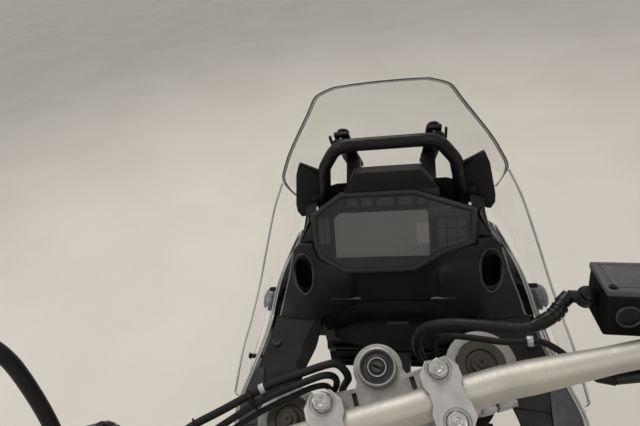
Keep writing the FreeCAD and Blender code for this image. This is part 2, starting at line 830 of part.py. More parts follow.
def steering_stem():
    shaft, collar, seat = sizes.stem_radius, sizes.stem_collar, -(sizes.head_half + sizes.bearing_gap)
    high, low = top_yoke_high, bottom_yoke_high
    head, foot = shaft + stem_head, bottom_yoke_low - stem_foot
    return turned([
        (0, foot), (shaft, foot), (shaft, low), (collar, low),
        (collar, seat), (shaft, seat), (shaft, high), (head, high),
        (head, high + stem_head_height), (0, high + stem_head_height)])


node("steering_stem", steering_stem(), STEER)


def stem_adjuster():
    inner = sizes.stem_radius + sizes.run_gap
    low, high = sizes.head_half + sizes.bearing_gap, top_yoke_low
    return turned([(inner, low), (adjuster_radius, low), (adjuster_radius, high), (inner, high)])


node("stem_adjuster", stem_adjuster(), STEER)


# Yokes: bosses joined by a web, bored for the stem and split round the fork tubes.
pinch_lug, pinch_split, pinch_bolt, pinch_head, pinch_head_height = (30.0, 16.0), 3.0, 3.8, 6.0, 5.5


def yoke(low, high, outline, bosses, bores):
    depth = high - low
    web = slab("XY_Plane", low, depth, outline)
    rounds = [cylinder(radius, depth, (x, u, low)) for x, u, radius in bosses]
    holes = [cylinder(radius, depth, (x, u, low)) for x, u, radius in bores]
    pinch, rear = [], sizes.fork_offset - fork_clamp
    lug_across, lug_along = pinch_lug
    bolt_reach = lug_across / 2 + 4
    level = low + depth / 2
    for x in (-sizes.fork_spread, sizes.fork_spread):
        rounds.append(box((lug_across, lug_along, depth), (x - lug_across / 2, rear - lug_along / 2, low)))
        holes.append(box((pinch_split, lug_along + 18, depth), (x - pinch_split / 2, rear - 12, low)))
        pinch.append(cylinder(pinch_bolt, bolt_reach * 2, (x - bolt_reach, rear - 2.5, level), Rotation(Y, 90)))
        for end in (x - lug_across / 2 - pinch_head_height, x + lug_across / 2):
            pinch.append(cylinder(pinch_head, pinch_head_height, (end, rear - 2.5, level), Rotation(Y, 90)))
    return fuse(cut(fuse(web, *rounds), *holes), *pinch)


fork_clamp = sizes.fork_radius + sizes.clamp_wall
fork_hole = sizes.fork_radius + sizes.fit_gap
stem_hole = sizes.stem_radius + sizes.run_gap
fork_places = [(-sizes.fork_spread, sizes.fork_offset), (sizes.fork_spread, sizes.fork_offset)]


riser_boss, lock_wall, slot_size, slot_places = 22.0, 8.0, (5, 15), ((-33, 18), (28, 18))


def top_yoke():
    outline = [(-100, -4), (-58, -32), (58, -32), (100, -4), (100, 50), (66, 40), (27, 37), (16, 64), (-16, 64),
               (-27, 37), (-66, 40), (-100, 50)]
    bosses = [(x, u, fork_clamp) for x, u in fork_places]
    bosses += [(x, sizes.bar_u, riser_boss) for x in (-sizes.clamp_x, sizes.clamp_x)]
    bosses += [(0, sizes.lock_forward, sizes.lock_radius + lock_wall)]
    bores = [(x, u, fork_hole) for x, u in fork_places]
    bores += [(0, 0, stem_hole), (0, sizes.lock_forward, sizes.lock_radius + sizes.fit_gap)]
    made = yoke(top_yoke_low, top_yoke_high, outline, bosses, bores)
    slots = [box((*slot_size, sizes.top_yoke_depth), (*place, top_yoke_low)) for place in slot_places]
    return cut(made, *slots)


def bottom_yoke():
    outline = [(-100, -6), (-34, -30), (34, -30), (100, -6), (100, 50), (40, 52), (-40, 52), (-100, 50)]
    bosses = [(x, u, fork_clamp) for x, u in fork_places]
    bores = [(x, u, fork_hole) for x, u in fork_places] + [(0, 0, stem_hole)]
    return yoke(bottom_yoke_low, bottom_yoke_high, outline, bosses, bores)


node("top_yoke", top_yoke(), STEER)
node("bottom_yoke", bottom_yoke(), STEER)


# Fork tubes, open below for the sliders, and their caps.
def fork_tube():
    bore, thin, thick, mouth = sizes.fork_bore, sizes.fork_radius, sizes.fork_low_radius, sizes.fork_mouth
    top, step = top_yoke_high + 1, bottom_yoke_low
    tube_body = turned([
        (bore, mouth), (thick + 2, mouth), (thick + 2, mouth + 18), (thick, mouth + 22), (thick, step - 14),
        (thin, step - 8), (thin, top), (thin - 2, top), (thin - 2, top - 18), (bore, top - 18)])
    return tube_body


def fork_cap():
    inner, outer, top = sizes.fork_radius - 2 - sizes.fit_gap, sizes.fork_radius - 0.5, top_yoke_high + 1
    return turned([
        (0, top - 16), (inner, top - 16), (inner, top), (outer, top), (outer, top + 3), (14, top + 3),
        (14, top + 1), (9, top + 1), (9, top + 8), (5, top + 8), (5, top + 11), (0, top + 11)])


FORK = STEER.multiply(Placement(Vector(sizes.fork_spread, sizes.fork_offset, 0), Rotation()))
fork_right = node("fork_tube_right", fork_tube(), FORK)
node("fork_tube_left", mirrored(fork_right, STEER))
pair_node("fork_caps", fork_cap(), FORK, STEER)


def ignition_lock():
    barrel, rim, top = sizes.lock_radius, sizes.lock_rim, top_yoke_high
    core = turned([
        (0, top - 44), (12.5, top - 44), (12.5, top - 30), (barrel, top - 30), (barrel, top), (rim, top),
        (rim, top + 9), (17.5, top + 9), (17.5, top + 6), (9.5, top + 6), (9.5, top + 8), (7.5, top + 8),
        (7.5, top + 5), (0, top + 5)])
    slot = box((2, 9, 6), (-1, -4.5, top + 1))
    return cut(core, slot)


LOCK = STEER.multiply(Placement(Vector(0, sizes.lock_forward, 0), Rotation()))
node("ignition_lock", ignition_lock(), LOCK)


# Handlebar clamps: a post with a saddle, and a cap with its two bolts.
clamp_plan = [(-9, 25), (-17, 15), (-17, 5), (-14, -1), (-14, -11), (-17, -17), (-17, -28), (-9, -38),
              (9, -38), (17, -28), (17, -17), (14, -11), (14, -1), (17, 5), (17, 15), (9, 25)]


riser_foot, riser_neck, saddle_depth, cap_gap = 20.0, 17.0, 22.0, 0.6
washer_radius, washer_height, bolt_radius, bolt_height = 9.0, 2.0, 7.5, 5.0


def bar_hole():
    length = 60.0
    return cylinder(sizes.bar_radius + 0.05, length, (-length / 2, sizes.bar_u, sizes.bar_s), Rotation(Y, 90))


def riser():
    foot = top_yoke_high
    post = cone(riser_foot, riser_neck, sizes.bar_s - foot - riser_neck + 1, (0, sizes.bar_u, foot))
    saddle = slab("XY_Plane", sizes.bar_s - saddle_depth, saddle_depth, clamp_plan)
    return cut(fuse(post, saddle), bar_hole())


def clamp_cap():
    low = sizes.bar_s + cap_gap
    crown = slab("XY_Plane", low, sizes.cap_top - low, clamp_plan)
    pieces = [crown]
    for u in (sizes.bolt_front_u, sizes.bolt_rear_u):
        pieces.append(cylinder(washer_radius, washer_height, (0, u, sizes.cap_top)))
        turns = [side * math.pi / 3 for side in range(6)]
        corners = [(bolt_radius * math.cos(turn), u + bolt_radius * math.sin(turn)) for turn in turns]
        pieces.append(slab("XY_Plane", sizes.cap_top + washer_height, bolt_height, corners))
    return cut(fuse(*pieces), bar_hole())


CLAMP = STEER.multiply(Placement(Vector(sizes.clamp_x, 0, 0), Rotation()))
for name, maker in (("risers", riser), ("clamp_caps", clamp_cap)):
    pair_node(name, maker(), CLAMP, STEER)

# Handlebar: rise and pull-back on each side, thick in the clamps and thin under the grips.
bar_rise = Vector(215, -17, 199)
bar_tip = Vector(430, -62, 204)
bar_run = (bar_tip - bar_rise).normalize()
bar_bend = Vector(100, sizes.bar_u, sizes.bar_s)


thick_run, taper_run, thick_arc, thin_arc = 26.0, 64.0, 120.0, 100.0


def handlebar():
    slope = (bar_rise - bar_bend).normalize()
    thick_end = bar_bend + slope * thick_run
    thin_start = bar_bend + slope * (thick_run + taper_run)
    middle = tube([tuple(flip([tuple(thick_end)])[0]), tuple(flip([tuple(bar_bend)])[0]),
                   tuple(bar_bend), tuple(thick_end)], sizes.bar_radius, thick_arc)
    taper = cone(sizes.bar_radius, sizes.bar_end_radius, taper_run, tuple(thick_end), Rotation(Z, slope))
    outer = tube([tuple(thin_start), tuple(bar_rise), tuple(bar_tip)], sizes.bar_end_radius, thin_arc)
    return fuse(middle, taper, outer, mirrored(taper), mirrored(outer))


node("handlebar", handlebar(), STEER)

# What sits on the handlebar's outer run is drawn along its own Z, from the rise to the tip.
RUN = Placement(bar_rise, Rotation(Z, bar_run))
sleeve = sizes.bar_end_radius + sizes.fit_gap


def grip():
    return turned([(sleeve, 94), (19, 94), (19, 99), (16, 101), (16.8, 150), (16, 205), (18.5, 207),
                   (18.5, 212), (sleeve, 212)])


def bar_end():
    tip = float((bar_tip - bar_rise).Length)
    return turned([(0, tip + 0.1), (11, tip + 0.1), (15, tip + 4), (15, tip + 22), (11, tip + 26), (0, tip + 26)])


for name, maker in (("grips", grip), ("bar_ends", bar_end)):
    pair_node(name, maker(), STEER.multiply(RUN), STEER)


pod_height, pod_depth, pod_rear, pod_round, pod_end, button_height = 44.0, 62.0, 36.0, 8.0, 93.0, 5.0


def switch_pod(width, buttons):
    """A switch housing, with buttons on its rear face: distance along, height, radius."""
    near = pod_end - width
    shell = rounded(box((pod_height, pod_depth, width), (-pod_height / 2, -pod_rear, near)), pod_round, (1, 3, 5, 7))
    knobs = [cylinder(radius, button_height + 4, (up, -pod_rear - button_height, along), Rotation(X, -90))
             for along, up, radius in buttons]
    return cut(fuse(shell, *knobs), cylinder(sleeve, width, (0, 0, near)))


elbow_root, elbow_tip = Vector(281, -38, 174), Vector(190, -26, 171)
elbow = elbow_tip - elbow_root
elbow_root_radius, elbow_tip_radius = 9.0, 4.5


def right_pod():
    guide = cone(elbow_root_radius, elbow_tip_radius, elbow.Length, tuple(elbow_root), Rotation(Z, elbow))
    return fuse(carry(switch_pod(28, ((79, 9, 7), (79, -10, 6))), RUN), guide)


node("switch_pod_right", right_pod(), STEER)
LEFT_RUN = STEER.multiply(Placement(Vector(-bar_rise.x, bar_rise.y, bar_rise.z),
                                    Rotation(Z, Vector(-bar_run.x, bar_run.y, bar_run.z))))
node("switch_pod_left", switch_pod(34, ((68, 10, 5), (76, -8, 8), (87, 8, 5))), LEFT_RUN)

# Front brake: reservoir block, cylinder, bar clamp and mirror boss, drawn from the block's corner.
BLOCK = Placement(Vector(194, 14, 0), Rotation(Z, -20))
boss_place, boss_radius, boss_low, boss_height = (286, 38), 11.0, 183.0, 22.0
block_lengths, block_low, block_round = (66, 50, 26), 183.0, 3.0
banjo_out, hose_high, hose_side = 22.0, 193.0, 25.0
pipe_radius, eye_radius, eye_height, eye_in = 5.5, 8.5, 10.0, 8.0
sight_place, sight_radius, sight_bore, sight_height, sight_depth = (23, -2.5, 194), 10.0, 7.5, 3.0, 2.0
clamp_along, clamp_length, clamp_radius = 34.0, 24.0, 17.0
grip_clear_along, grip_clear_length = 20.0, 60.0
pivot_size, pivot_place, control_turn = (46, 27, 18), (250, 28, 169.5), Rotation(Z, -12)
slot_lengths, slot_corner = (90, 40, 7), (236, 37, 173)


def on_bar(distance, length, radius):
    """A round on the bar's outer run, given in the steering frame."""
    start = bar_rise + bar_run * distance
    return cylinder(radius, length, tuple(start), Rotation(Z, bar_run))


def lever_pivot():
    return box(pivot_size, pivot_place, control_turn)


def lever_slot():
    return box(slot_lengths, slot_corner, control_turn)


def bar_clamp():
    return on_bar(clamp_along, clamp_length, clamp_radius)


def bar_clearance():
    return on_bar(grip_clear_along, grip_clear_length, sleeve)


def brake_master():
    block = rounded(box(block_lengths, (0, 0, block_low)), block_round, (1, 3, 5, 7))
    pipe = cylinder(pipe_radius, banjo_out, (-banjo_out, hose_side, hose_high), Rotation(Y, 90))
    eye = cylinder(eye_radius, eye_height, (-eye_in, hose_side, hose_high - eye_height / 2))
    banjo = fuse(pipe, eye)
    sight = cylinder(sight_radius, sight_height, sight_place, Rotation(X, -90))
    ring = cut(sight, cylinder(sight_bore, sight_depth, sight_place, Rotation(X, -90)))
    for piece in (block, banjo, ring):
        carry(piece, BLOCK)
    boss = cylinder(boss_radius, boss_height, (*boss_place, boss_low))
    neck_size, neck_place = (24, 40, 16), (244, -24, 191)
    neck = box(neck_size, neck_place, control_turn)
    body = fuse(block, banjo, ring, boss, bar_clamp(), neck, lever_pivot())
    return cut(body, bar_clearance(), lever_slot())


node("brake_master", brake_master(), STEER)


def reservoir_lid():
    overhang, height, edge = 1.0, 6.0, 2.0
    length, width, depth = block_lengths
    plan = (length + overhang * 2, width + overhang * 2, height)
    return carry(rounded(box(plan, (-overhang, -overhang, block_low + depth)), edge, (1, 3, 5, 7)), BLOCK)


node("reservoir_lid", reservoir_lid(), STEER)


def clutch_perch():
    clamp = mirrored(bar_clamp())
    boss = mirrored(cylinder(boss_radius, boss_height, (*boss_place, boss_low)))
    neck_size, neck_place, neck_turn = (22, 60, 16), (-272, -24, 187), Rotation(Z, 6)
    body = fuse(clamp, boss, box(neck_size, neck_place, neck_turn), mirrored(lever_pivot()))
    return cut(body, mirrored(fuse(bar_clearance(), lever_slot())))


node("clutch_perch", clutch_perch(), STEER)


lever_gap, lever_eye, lever_radius, lever_ball, lever_arc = 0.05, 9.0, 5.5, 8.0, 400.0
lever_root = [(262, 59), (264, 41), (306, 48), (308, 61)]
lever_blade = [(300, 54.5, 177), (330, 51, 180), (366, 40, 185), (420, 16, 190)]


def lever():
    low, height = slot_corner[2] + lever_gap, slot_lengths[2] - lever_gap * 2
    eye = cylinder(lever_eye, height, (264, 50, low))
    root = slab("XY_Plane", low, height, lever_root)
    blade = tube(lever_blade, lever_radius, lever_arc)
    return fuse(eye, root, blade, ball(lever_ball, (421, 15.6, 190.1)))


node("brake_lever", lever(), STEER)
node("clutch_lever", mirrored(lever()), STEER)

# Mirrors.
mirror_points = [(286, 38, 205), (286, 38, 214), (281, 53, 234), (279, 78, 267), (277, 98, 302), (292, 112, 330),
                 (318, 124, 352), (325, 133, 369)]


mirror_stem_radius, mirror_stem_arc = 6.5, 40.0
mirror_depth, mirror_well, mirror_wall, mirror_fit, mirror_pane = 26.0, 3.0, 4.0, 0.2, 2.5


def mirror_stem():
    return tube(mirror_points, mirror_stem_radius, mirror_stem_arc)


pair_node("mirror_stems", mirror_stem(), STEER)
MIRROR = STEER.multiply(Placement(Vector(368.4, 136.8, 405.6), Rotation(X, 63)))
mirror_outline = [(-76, 20), (-66, -26), (-20, -42), (52, -40), (76, -20), (80, 16), (64, 40), (-50, 42)]


def mirror_head():
    body = new_body()
    pad(body, "XY_Plane", -mirror_depth, mirror_depth, [mirror_outline])
    pocket(body, "XY_Plane", 0, mirror_well, [inset(mirror_outline, mirror_wall)])
    return body


def mirror_glass():
    return slab("XY_Plane", -mirror_well, mirror_pane, inset(mirror_outline, mirror_wall + mirror_fit))


pair_node("mirror_heads", mirror_head(), MIRROR, STEER)
pair_node("mirror_glasses", mirror_glass(), MIRROR, STEER)

# Hoses and cables, from the controls round the front of the top yoke to blocks on the bottom yoke.
block_height, block_size, block_forward, cable_arc = 20.0, 28.0, 18.0, 400.0
block_top = bottom_yoke_high + block_height
block_x = sizes.fork_spread - sizes.block_in


def cable_block():
    return box((block_size, block_size, block_height), (block_x, block_forward, bottom_yoke_high))


pair_node("cable_blocks", cable_block(), STEER)
hose_start = [BLOCK.multVec(Vector(-banjo_out - ahead, hose_side, hose_high)) for ahead in (0.05, 10)]
brake_route = [*[tuple(point) for point in hose_start], (161, 31, 190), (147, 28, 190), (133, 30, 189),
               (121, 36, 187), (99, 47, 183), (75, 58, 177), (55, 64, 163), (47, 64, 138), (46, 60, 110),
               (50, 54, 82), (block_x + 10, 42, 44), (block_x + 10, 38, 0), (block_x + 10, 38, block_top)]
throttle_start = [elbow_root + elbow * (1 + ahead / elbow.Length) for ahead in (0.05, 9)]
throttle_route = [*[tuple(point) for point in throttle_start], (168, -6, 170), (157, 14, 169), (146, 23, 167),
                  (124, 27, 165), (98, 41, 161), (77, 51, 157), (64, 57, 145), (62, 57, 118), (65, 50, 88),
                  (block_x + 23, 38, 50), (block_x + 20, 26, 0), (block_x + 20, 26, block_top)]
clutch_route = [(-253.3, 10, 195), (-241, 11.4, 195), (-225, 15, 185), (-206, 26, 170), (-187, 38, 157),
                (-160, 44, 153), (-132, 51, 151), (-103, 57, 150), (-72, 58.5, 150), (-50, 60, 149),
                (-37, 60, 146), (-31, 52, 137), (-31, 47, 122), (-37, 50, 100), (-47, 48, 74),
                (-block_x - 8, 40, 44), (-block_x - 8, 38, 0), (-block_x - 8, 38, block_top)]
wiring_route = [(-289.8, -33.1, 178.05), (-290.4, -31.1, 168.4), (-268, -14, 162), (-240, 2, 160),
                (-206, 14, 155), (-180, 25, 151), (-157, 33, 149), (-121, 44, 148), (-91, 48, 149),
                (-71, 49.5, 149), (-52, 51.5, 148), (-43, 50, 137), (-44, 47, 118), (-52, 46, 96),
                (-63, 40, 66), (-block_x - 22, 30, 30), (-block_x - 20, 27, -10), (-block_x - 20, 27, block_top)]
for name, route, radius in (
        ("brake_hose", brake_route, sizes.hose_radius),
        ("throttle_cable", throttle_route, sizes.throttle_radius),
        ("clutch_cable", clutch_route, sizes.clutch_radius),
        ("wiring_left", wiring_route, sizes.wiring_radius)):
    node(name, tube(route, radius, cable_arc), STEER)

doc.recompute()
for item in doc.Objects:
    if "Invalid" in item.State or "Error" in item.State:
        raise RuntimeError(f"{item.Label} did not compute: {item.State}")
os.makedirs("parts", exist_ok=True)
for item in nodes:
    shape = item.Shape
    if shape.isNull() or not shape.isValid():
        raise RuntimeError(f"{item.Label} has no valid shape")
    shape.exportStep(f"parts/{item.Label}.step")
    print(item.Label, len(shape.Solids), round(shape.Volume))
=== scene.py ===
"""Looks of a motorcycle's front cockpit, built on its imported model."""
import json
import math

import bmesh
import bpy
from mathutils import Matrix, Vector


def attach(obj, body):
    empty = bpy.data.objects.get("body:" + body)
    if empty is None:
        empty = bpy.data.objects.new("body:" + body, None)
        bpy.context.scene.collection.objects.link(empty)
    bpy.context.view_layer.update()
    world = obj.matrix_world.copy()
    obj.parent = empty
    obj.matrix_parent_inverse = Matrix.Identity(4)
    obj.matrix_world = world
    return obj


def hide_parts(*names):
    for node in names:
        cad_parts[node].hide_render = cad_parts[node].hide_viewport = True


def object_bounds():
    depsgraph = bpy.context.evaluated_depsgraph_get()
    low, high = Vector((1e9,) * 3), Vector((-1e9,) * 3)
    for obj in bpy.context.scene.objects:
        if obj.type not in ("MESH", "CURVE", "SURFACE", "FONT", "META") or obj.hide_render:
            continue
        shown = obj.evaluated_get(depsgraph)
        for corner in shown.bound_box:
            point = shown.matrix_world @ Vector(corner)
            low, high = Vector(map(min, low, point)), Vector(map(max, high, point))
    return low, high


bl_info = {
    "name": "Motorcycle Cockpit Looks",
    "version": (1, 0, 0),
    "blender": (4, 5, 0),
    "location": "View3D > Sidebar > Cockpit",
    "description": "Dresses the front cockpit of an adventure motorcycle",
    "category": "Object",
}

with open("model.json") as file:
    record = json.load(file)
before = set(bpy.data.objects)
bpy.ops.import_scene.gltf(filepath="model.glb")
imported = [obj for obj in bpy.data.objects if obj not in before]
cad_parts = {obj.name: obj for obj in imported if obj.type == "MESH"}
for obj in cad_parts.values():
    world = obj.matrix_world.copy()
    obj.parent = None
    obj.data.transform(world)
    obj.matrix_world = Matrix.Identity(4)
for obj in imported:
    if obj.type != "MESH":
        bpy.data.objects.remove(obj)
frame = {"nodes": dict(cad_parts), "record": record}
cad_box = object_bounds()
nodes = frame["nodes"]

# Lengths of pieces are millimetres, as in the model's own source, up to the meshes, which are metres.
MM = 0.001
SMOOTH_ANGLE = 32
BEVEL_ANGLE = 34
MERGE_DISTANCE = 1e-6
NOISE_RANGE = 0.3, 0.7
SHADE_STOPS = 0.32, 0.68
WASHER_HEIGHT = 1.2


def at(*place):
    return Vector(place) * MM


def shift(*place):
    return Matrix.Translation(at(*place))


def turned(degrees, axis):
    return Matrix.Rotation(math.radians(degrees), 4, axis)


HERE = Matrix.Identity(4)
ACROSS = Matrix.Diagonal((-1, 1, 1, 1))
FORWARD = turned(90, "X")
STEER = shift(0, 95, 0) @ turned(27, "X") @ turned(17, "Z")
SWAPPED = STEER @ ACROSS @ STEER.inverted()
DISPLAY = shift(0, 252, 180) @ turned(65, "X")
SCREEN = shift(0, 317, 286) @ turned(122, "X")
MIRROR = STEER @ shift(368.4, 136.8, 405.6) @ turned(63, "X")
BLOCK = STEER @ shift(194, 14, 0) @ turned(-20, "Z")
CLAMP = STEER @ shift(51.9, 0, 0)
bar_rise, bar_tip = Vector((215, -17, 199)), Vector((430, -62, 204))


def toward(place, direction):
    """A frame at a place in the steering frame with its Z along a direction."""
    turn = Vector((0, 0, 1)).rotation_difference(Vector(direction)).to_matrix().to_4x4()
    return STEER @ shift(*place) @ turn


RUN = toward(bar_rise, bar_tip - bar_rise)


def length(name, description, default, **limits):
    return bpy.props.FloatProperty(name=name, description=description, default=default * MM, unit="LENGTH",
                                   subtype="DISTANCE", **limits)


def paint(name, description, *default):
    return bpy.props.FloatVectorProperty(name=name, description=description, default=default, subtype="COLOR",
                                         size=3)


class CockpitSizes(bpy.types.PropertyGroup):
    edge: length("Edge Rounding", "Rounding on the edges of the windscreen, side cowls and nose", 0.9,
                 min=0.0001, max=0.003)
    screen_thickness: length("Screen Thickness", "Thickness of the clear screens", 3.5)
    panel_thickness: length("Panel Thickness", "Wall of the moulded panels", 3.2)
    hose_radius: length("Hose Radius", "Radius of the front brake hose", 5)
    throttle_radius: length("Throttle Cable Radius", "Radius of the throttle cable", 3)
    clutch_radius: length("Clutch Cable Radius", "Radius of the clutch cable", 4)
    wiring_radius: length("Wiring Radius", "Radius of the left wiring", 3.5)
    grip_ribs: bpy.props.IntProperty(name="Grip Ribs", description="Ribs round each grip", default=17, min=4, max=40)


class CockpitColours(bpy.types.PropertyGroup):
    charcoal: paint("Charcoal", "Grained panels round the display", 0.0088, 0.0084, 0.0098)
    side_grey: paint("Side Grey", "Painted side cowls", 0.013, 0.013, 0.0145)
    bar_tint: paint("Bar Tint", "Anodised handlebar", 0.48, 0.46, 0.41)
    cast_tint: paint("Casting Tint", "Silver yokes and clamps", 0.42, 0.41, 0.395)
    reading_grey: paint("Reading Panel Grey", "Resting display panel", 0.145, 0.147, 0.142)
    signal_smoke: paint("Signal Smoke", "Turn signal lenses", 0.2, 0.19, 0.21)


def sizes():
    return bpy.context.scene.cockpit_sizes


made_once = {}


def once(maker, *values):
    """What a maker gives, made the first time only."""
    key = (maker, *values)
    if key not in made_once:
        made_once[key] = maker(*values)
    return made_once[key]


def add_node(tree, kind, feeds, **settings):
    """A node with its settings and its inputs, which are set or linked."""
    made = tree.nodes.new(kind)
    for name, value in settings.items():
        setattr(made, name, value)
    for name, value in feeds.items():
        if isinstance(value, bpy.types.NodeSocket):
            tree.links.new(value, made.inputs[name])
        else:
            made.inputs[name].default_value = value
    return made


# Materials.
def material_tree(name, **sockets):
    """A material with its tree, its shader's inputs and the place on the piece."""
    material = bpy.data.materials.new(name)
    material.use_nodes = True
    tree = material.node_tree
    shader = tree.nodes["Principled BSDF"]
    for socket, value in sockets.items():
        shader.inputs[socket.replace("_", " ")].default_value = value
    place = tree.nodes.new("ShaderNodeTexCoord").outputs["Object"]
    return material, tree, shader.inputs, place


def spread(tree, place, scale, detail=4.0, cells=False, turn=(0, 0, 0), stretch=(1, 1, 1)):
    """A pattern over the surface, by metres: noise, or the distances in cells."""
    mapping = add_node(tree, "ShaderNodeMapping", {"Vector": place, "Rotation": turn, "Scale": stretch})
    feeds = {"Vector": mapping.outputs["Vector"], "Scale": scale}
    if cells:
        return add_node(tree, "ShaderNodeTexVoronoi", feeds).outputs["Distance"]
    return add_node(tree, "ShaderNodeTexNoise", {**feeds, "Detail": detail}).outputs["Fac"]


def between(tree, value, low, high, socket):
    """Send a pattern to a socket as a number from low to high."""
    reach = add_node(tree, "ShaderNodeMapRange", {"Value": value, "From Min": NOISE_RANGE[0],
                                                  "From Max": NOISE_RANGE[1], "To Min": low, "To Max": high})
    tree.links.new(reach.outputs["Result"], socket)


def shades(tree, value, dark, light, socket):
    """Send a pattern to a colour socket as a mix of two shades."""
    ramp = add_node(tree, "ShaderNodeValToRGB", {"Fac": value})
    for stop, position, colour in zip(ramp.color_ramp.elements, SHADE_STOPS, (dark, light)):
        stop.position = position
        stop.color = (*colour, 1)
    tree.links.new(ramp.outputs["Color"], socket)


def raised(tree, inputs, *layers):
    """Stack raised patterns: value, height in millimetres."""
    below = {}
    for value, height in layers:
        bump = add_node(tree, "ShaderNodeBump", {"Strength": 1, "Distance": height * MM, "Height": value, **below})
        below = {"Normal": bump.outputs["Normal"]}
    tree.links.new(below["Normal"], inputs["Normal"])


def tint(colour, step):
    return tuple(max(0.0, part * step) for part in colour)


def tone(colour):
    """The parts of a colour that is typed, or of a setting times a share."""
    if isinstance(colour[0], str):
        return tint(getattr(bpy.context.scene.cockpit_colours, colour[0]), colour[1])
    return colour


def opaque_finish(name, colour, rough, metallic, mottle, depth, grain, pebble=None, specular=0.5):
    """An opaque finish: mottled colour, uneven roughness and a fine grain."""
    material, tree, inputs, place = material_tree(name, Metallic=metallic, Specular_IOR_Level=specular)
    colour = tone(colour)
    shades(tree, spread(tree, place, mottle), tint(colour, 1 - depth), tint(colour, 1 + depth), inputs["Base Color"])
    between(tree, spread(tree, place, mottle * 2.7, 6), *rough, inputs["Roughness"])
    layers = [(spread(tree, place, grain[0], 3), grain[1])]
    if pebble:
        layers.append((spread(tree, place, pebble[0], cells=True), pebble[1]))
    raised(tree, inputs, *layers)
    return material


def clear_finish(name, colour, rough, wave, scale, ior=1.49, transmission=1):
    """A clear solid: a fine haze and a faint wave."""
    material, tree, inputs, place = material_tree(name, Base_Color=(*tone(colour), 1), IOR=ior,
                                                  Transmission_Weight=transmission)
    between(tree, spread(tree, place, scale * 3), *rough, inputs["Roughness"])
    raised(tree, inputs, (spread(tree, place, scale, 1), wave))
    return material


def brushed_bar(name):
    """Fine turned streaks round the tube and a warm anodised tint."""
    material, tree, inputs, place = material_tree(name, Metallic=0.92)
    colour = tone(("bar_tint", 1))
    shades(tree, spread(tree, place, 26), tint(colour, 0.94), tint(colour, 1.06), inputs["Base Color"])
    streaks = spread(tree, place, 160, 5, turn=(0, 0, math.radians(-17)), stretch=(9, 0.35, 0.35))
    between(tree, streaks, 0.5, 0.62, inputs["Roughness"])
    raised(tree, inputs, (streaks, 0.012), (spread(tree, place, 900), 0.01))
    return material


def ribbed_sleeve(name):
    """Hose sleeve with a woven look."""
    material, tree, inputs, place = material_tree(name, Specular_IOR_Level=0.25)
    shades(tree, spread(tree, place, 380), (0.0028, 0.0027, 0.0031), (0.0075, 0.0073, 0.008), inputs["Base Color"])
    between(tree, spread(tree, place, 120), 0.42, 0.6, inputs["Roughness"])
    raised(tree, inputs, (spread(tree, place, 620, cells=True), 0.12))
    return material


def pale_floor(name):
    material, tree, inputs, place = material_tree(name)
    shades(tree, spread(tree, place, 2.2), (0.70, 0.64, 0.55), (0.76, 0.70, 0.61), inputs["Base Color"])
    between(tree, spread(tree, place, 60), 0.5, 0.62, inputs["Roughness"])
    raised(tree, inputs, (spread(tree, place, 240), 0.05))
    return material


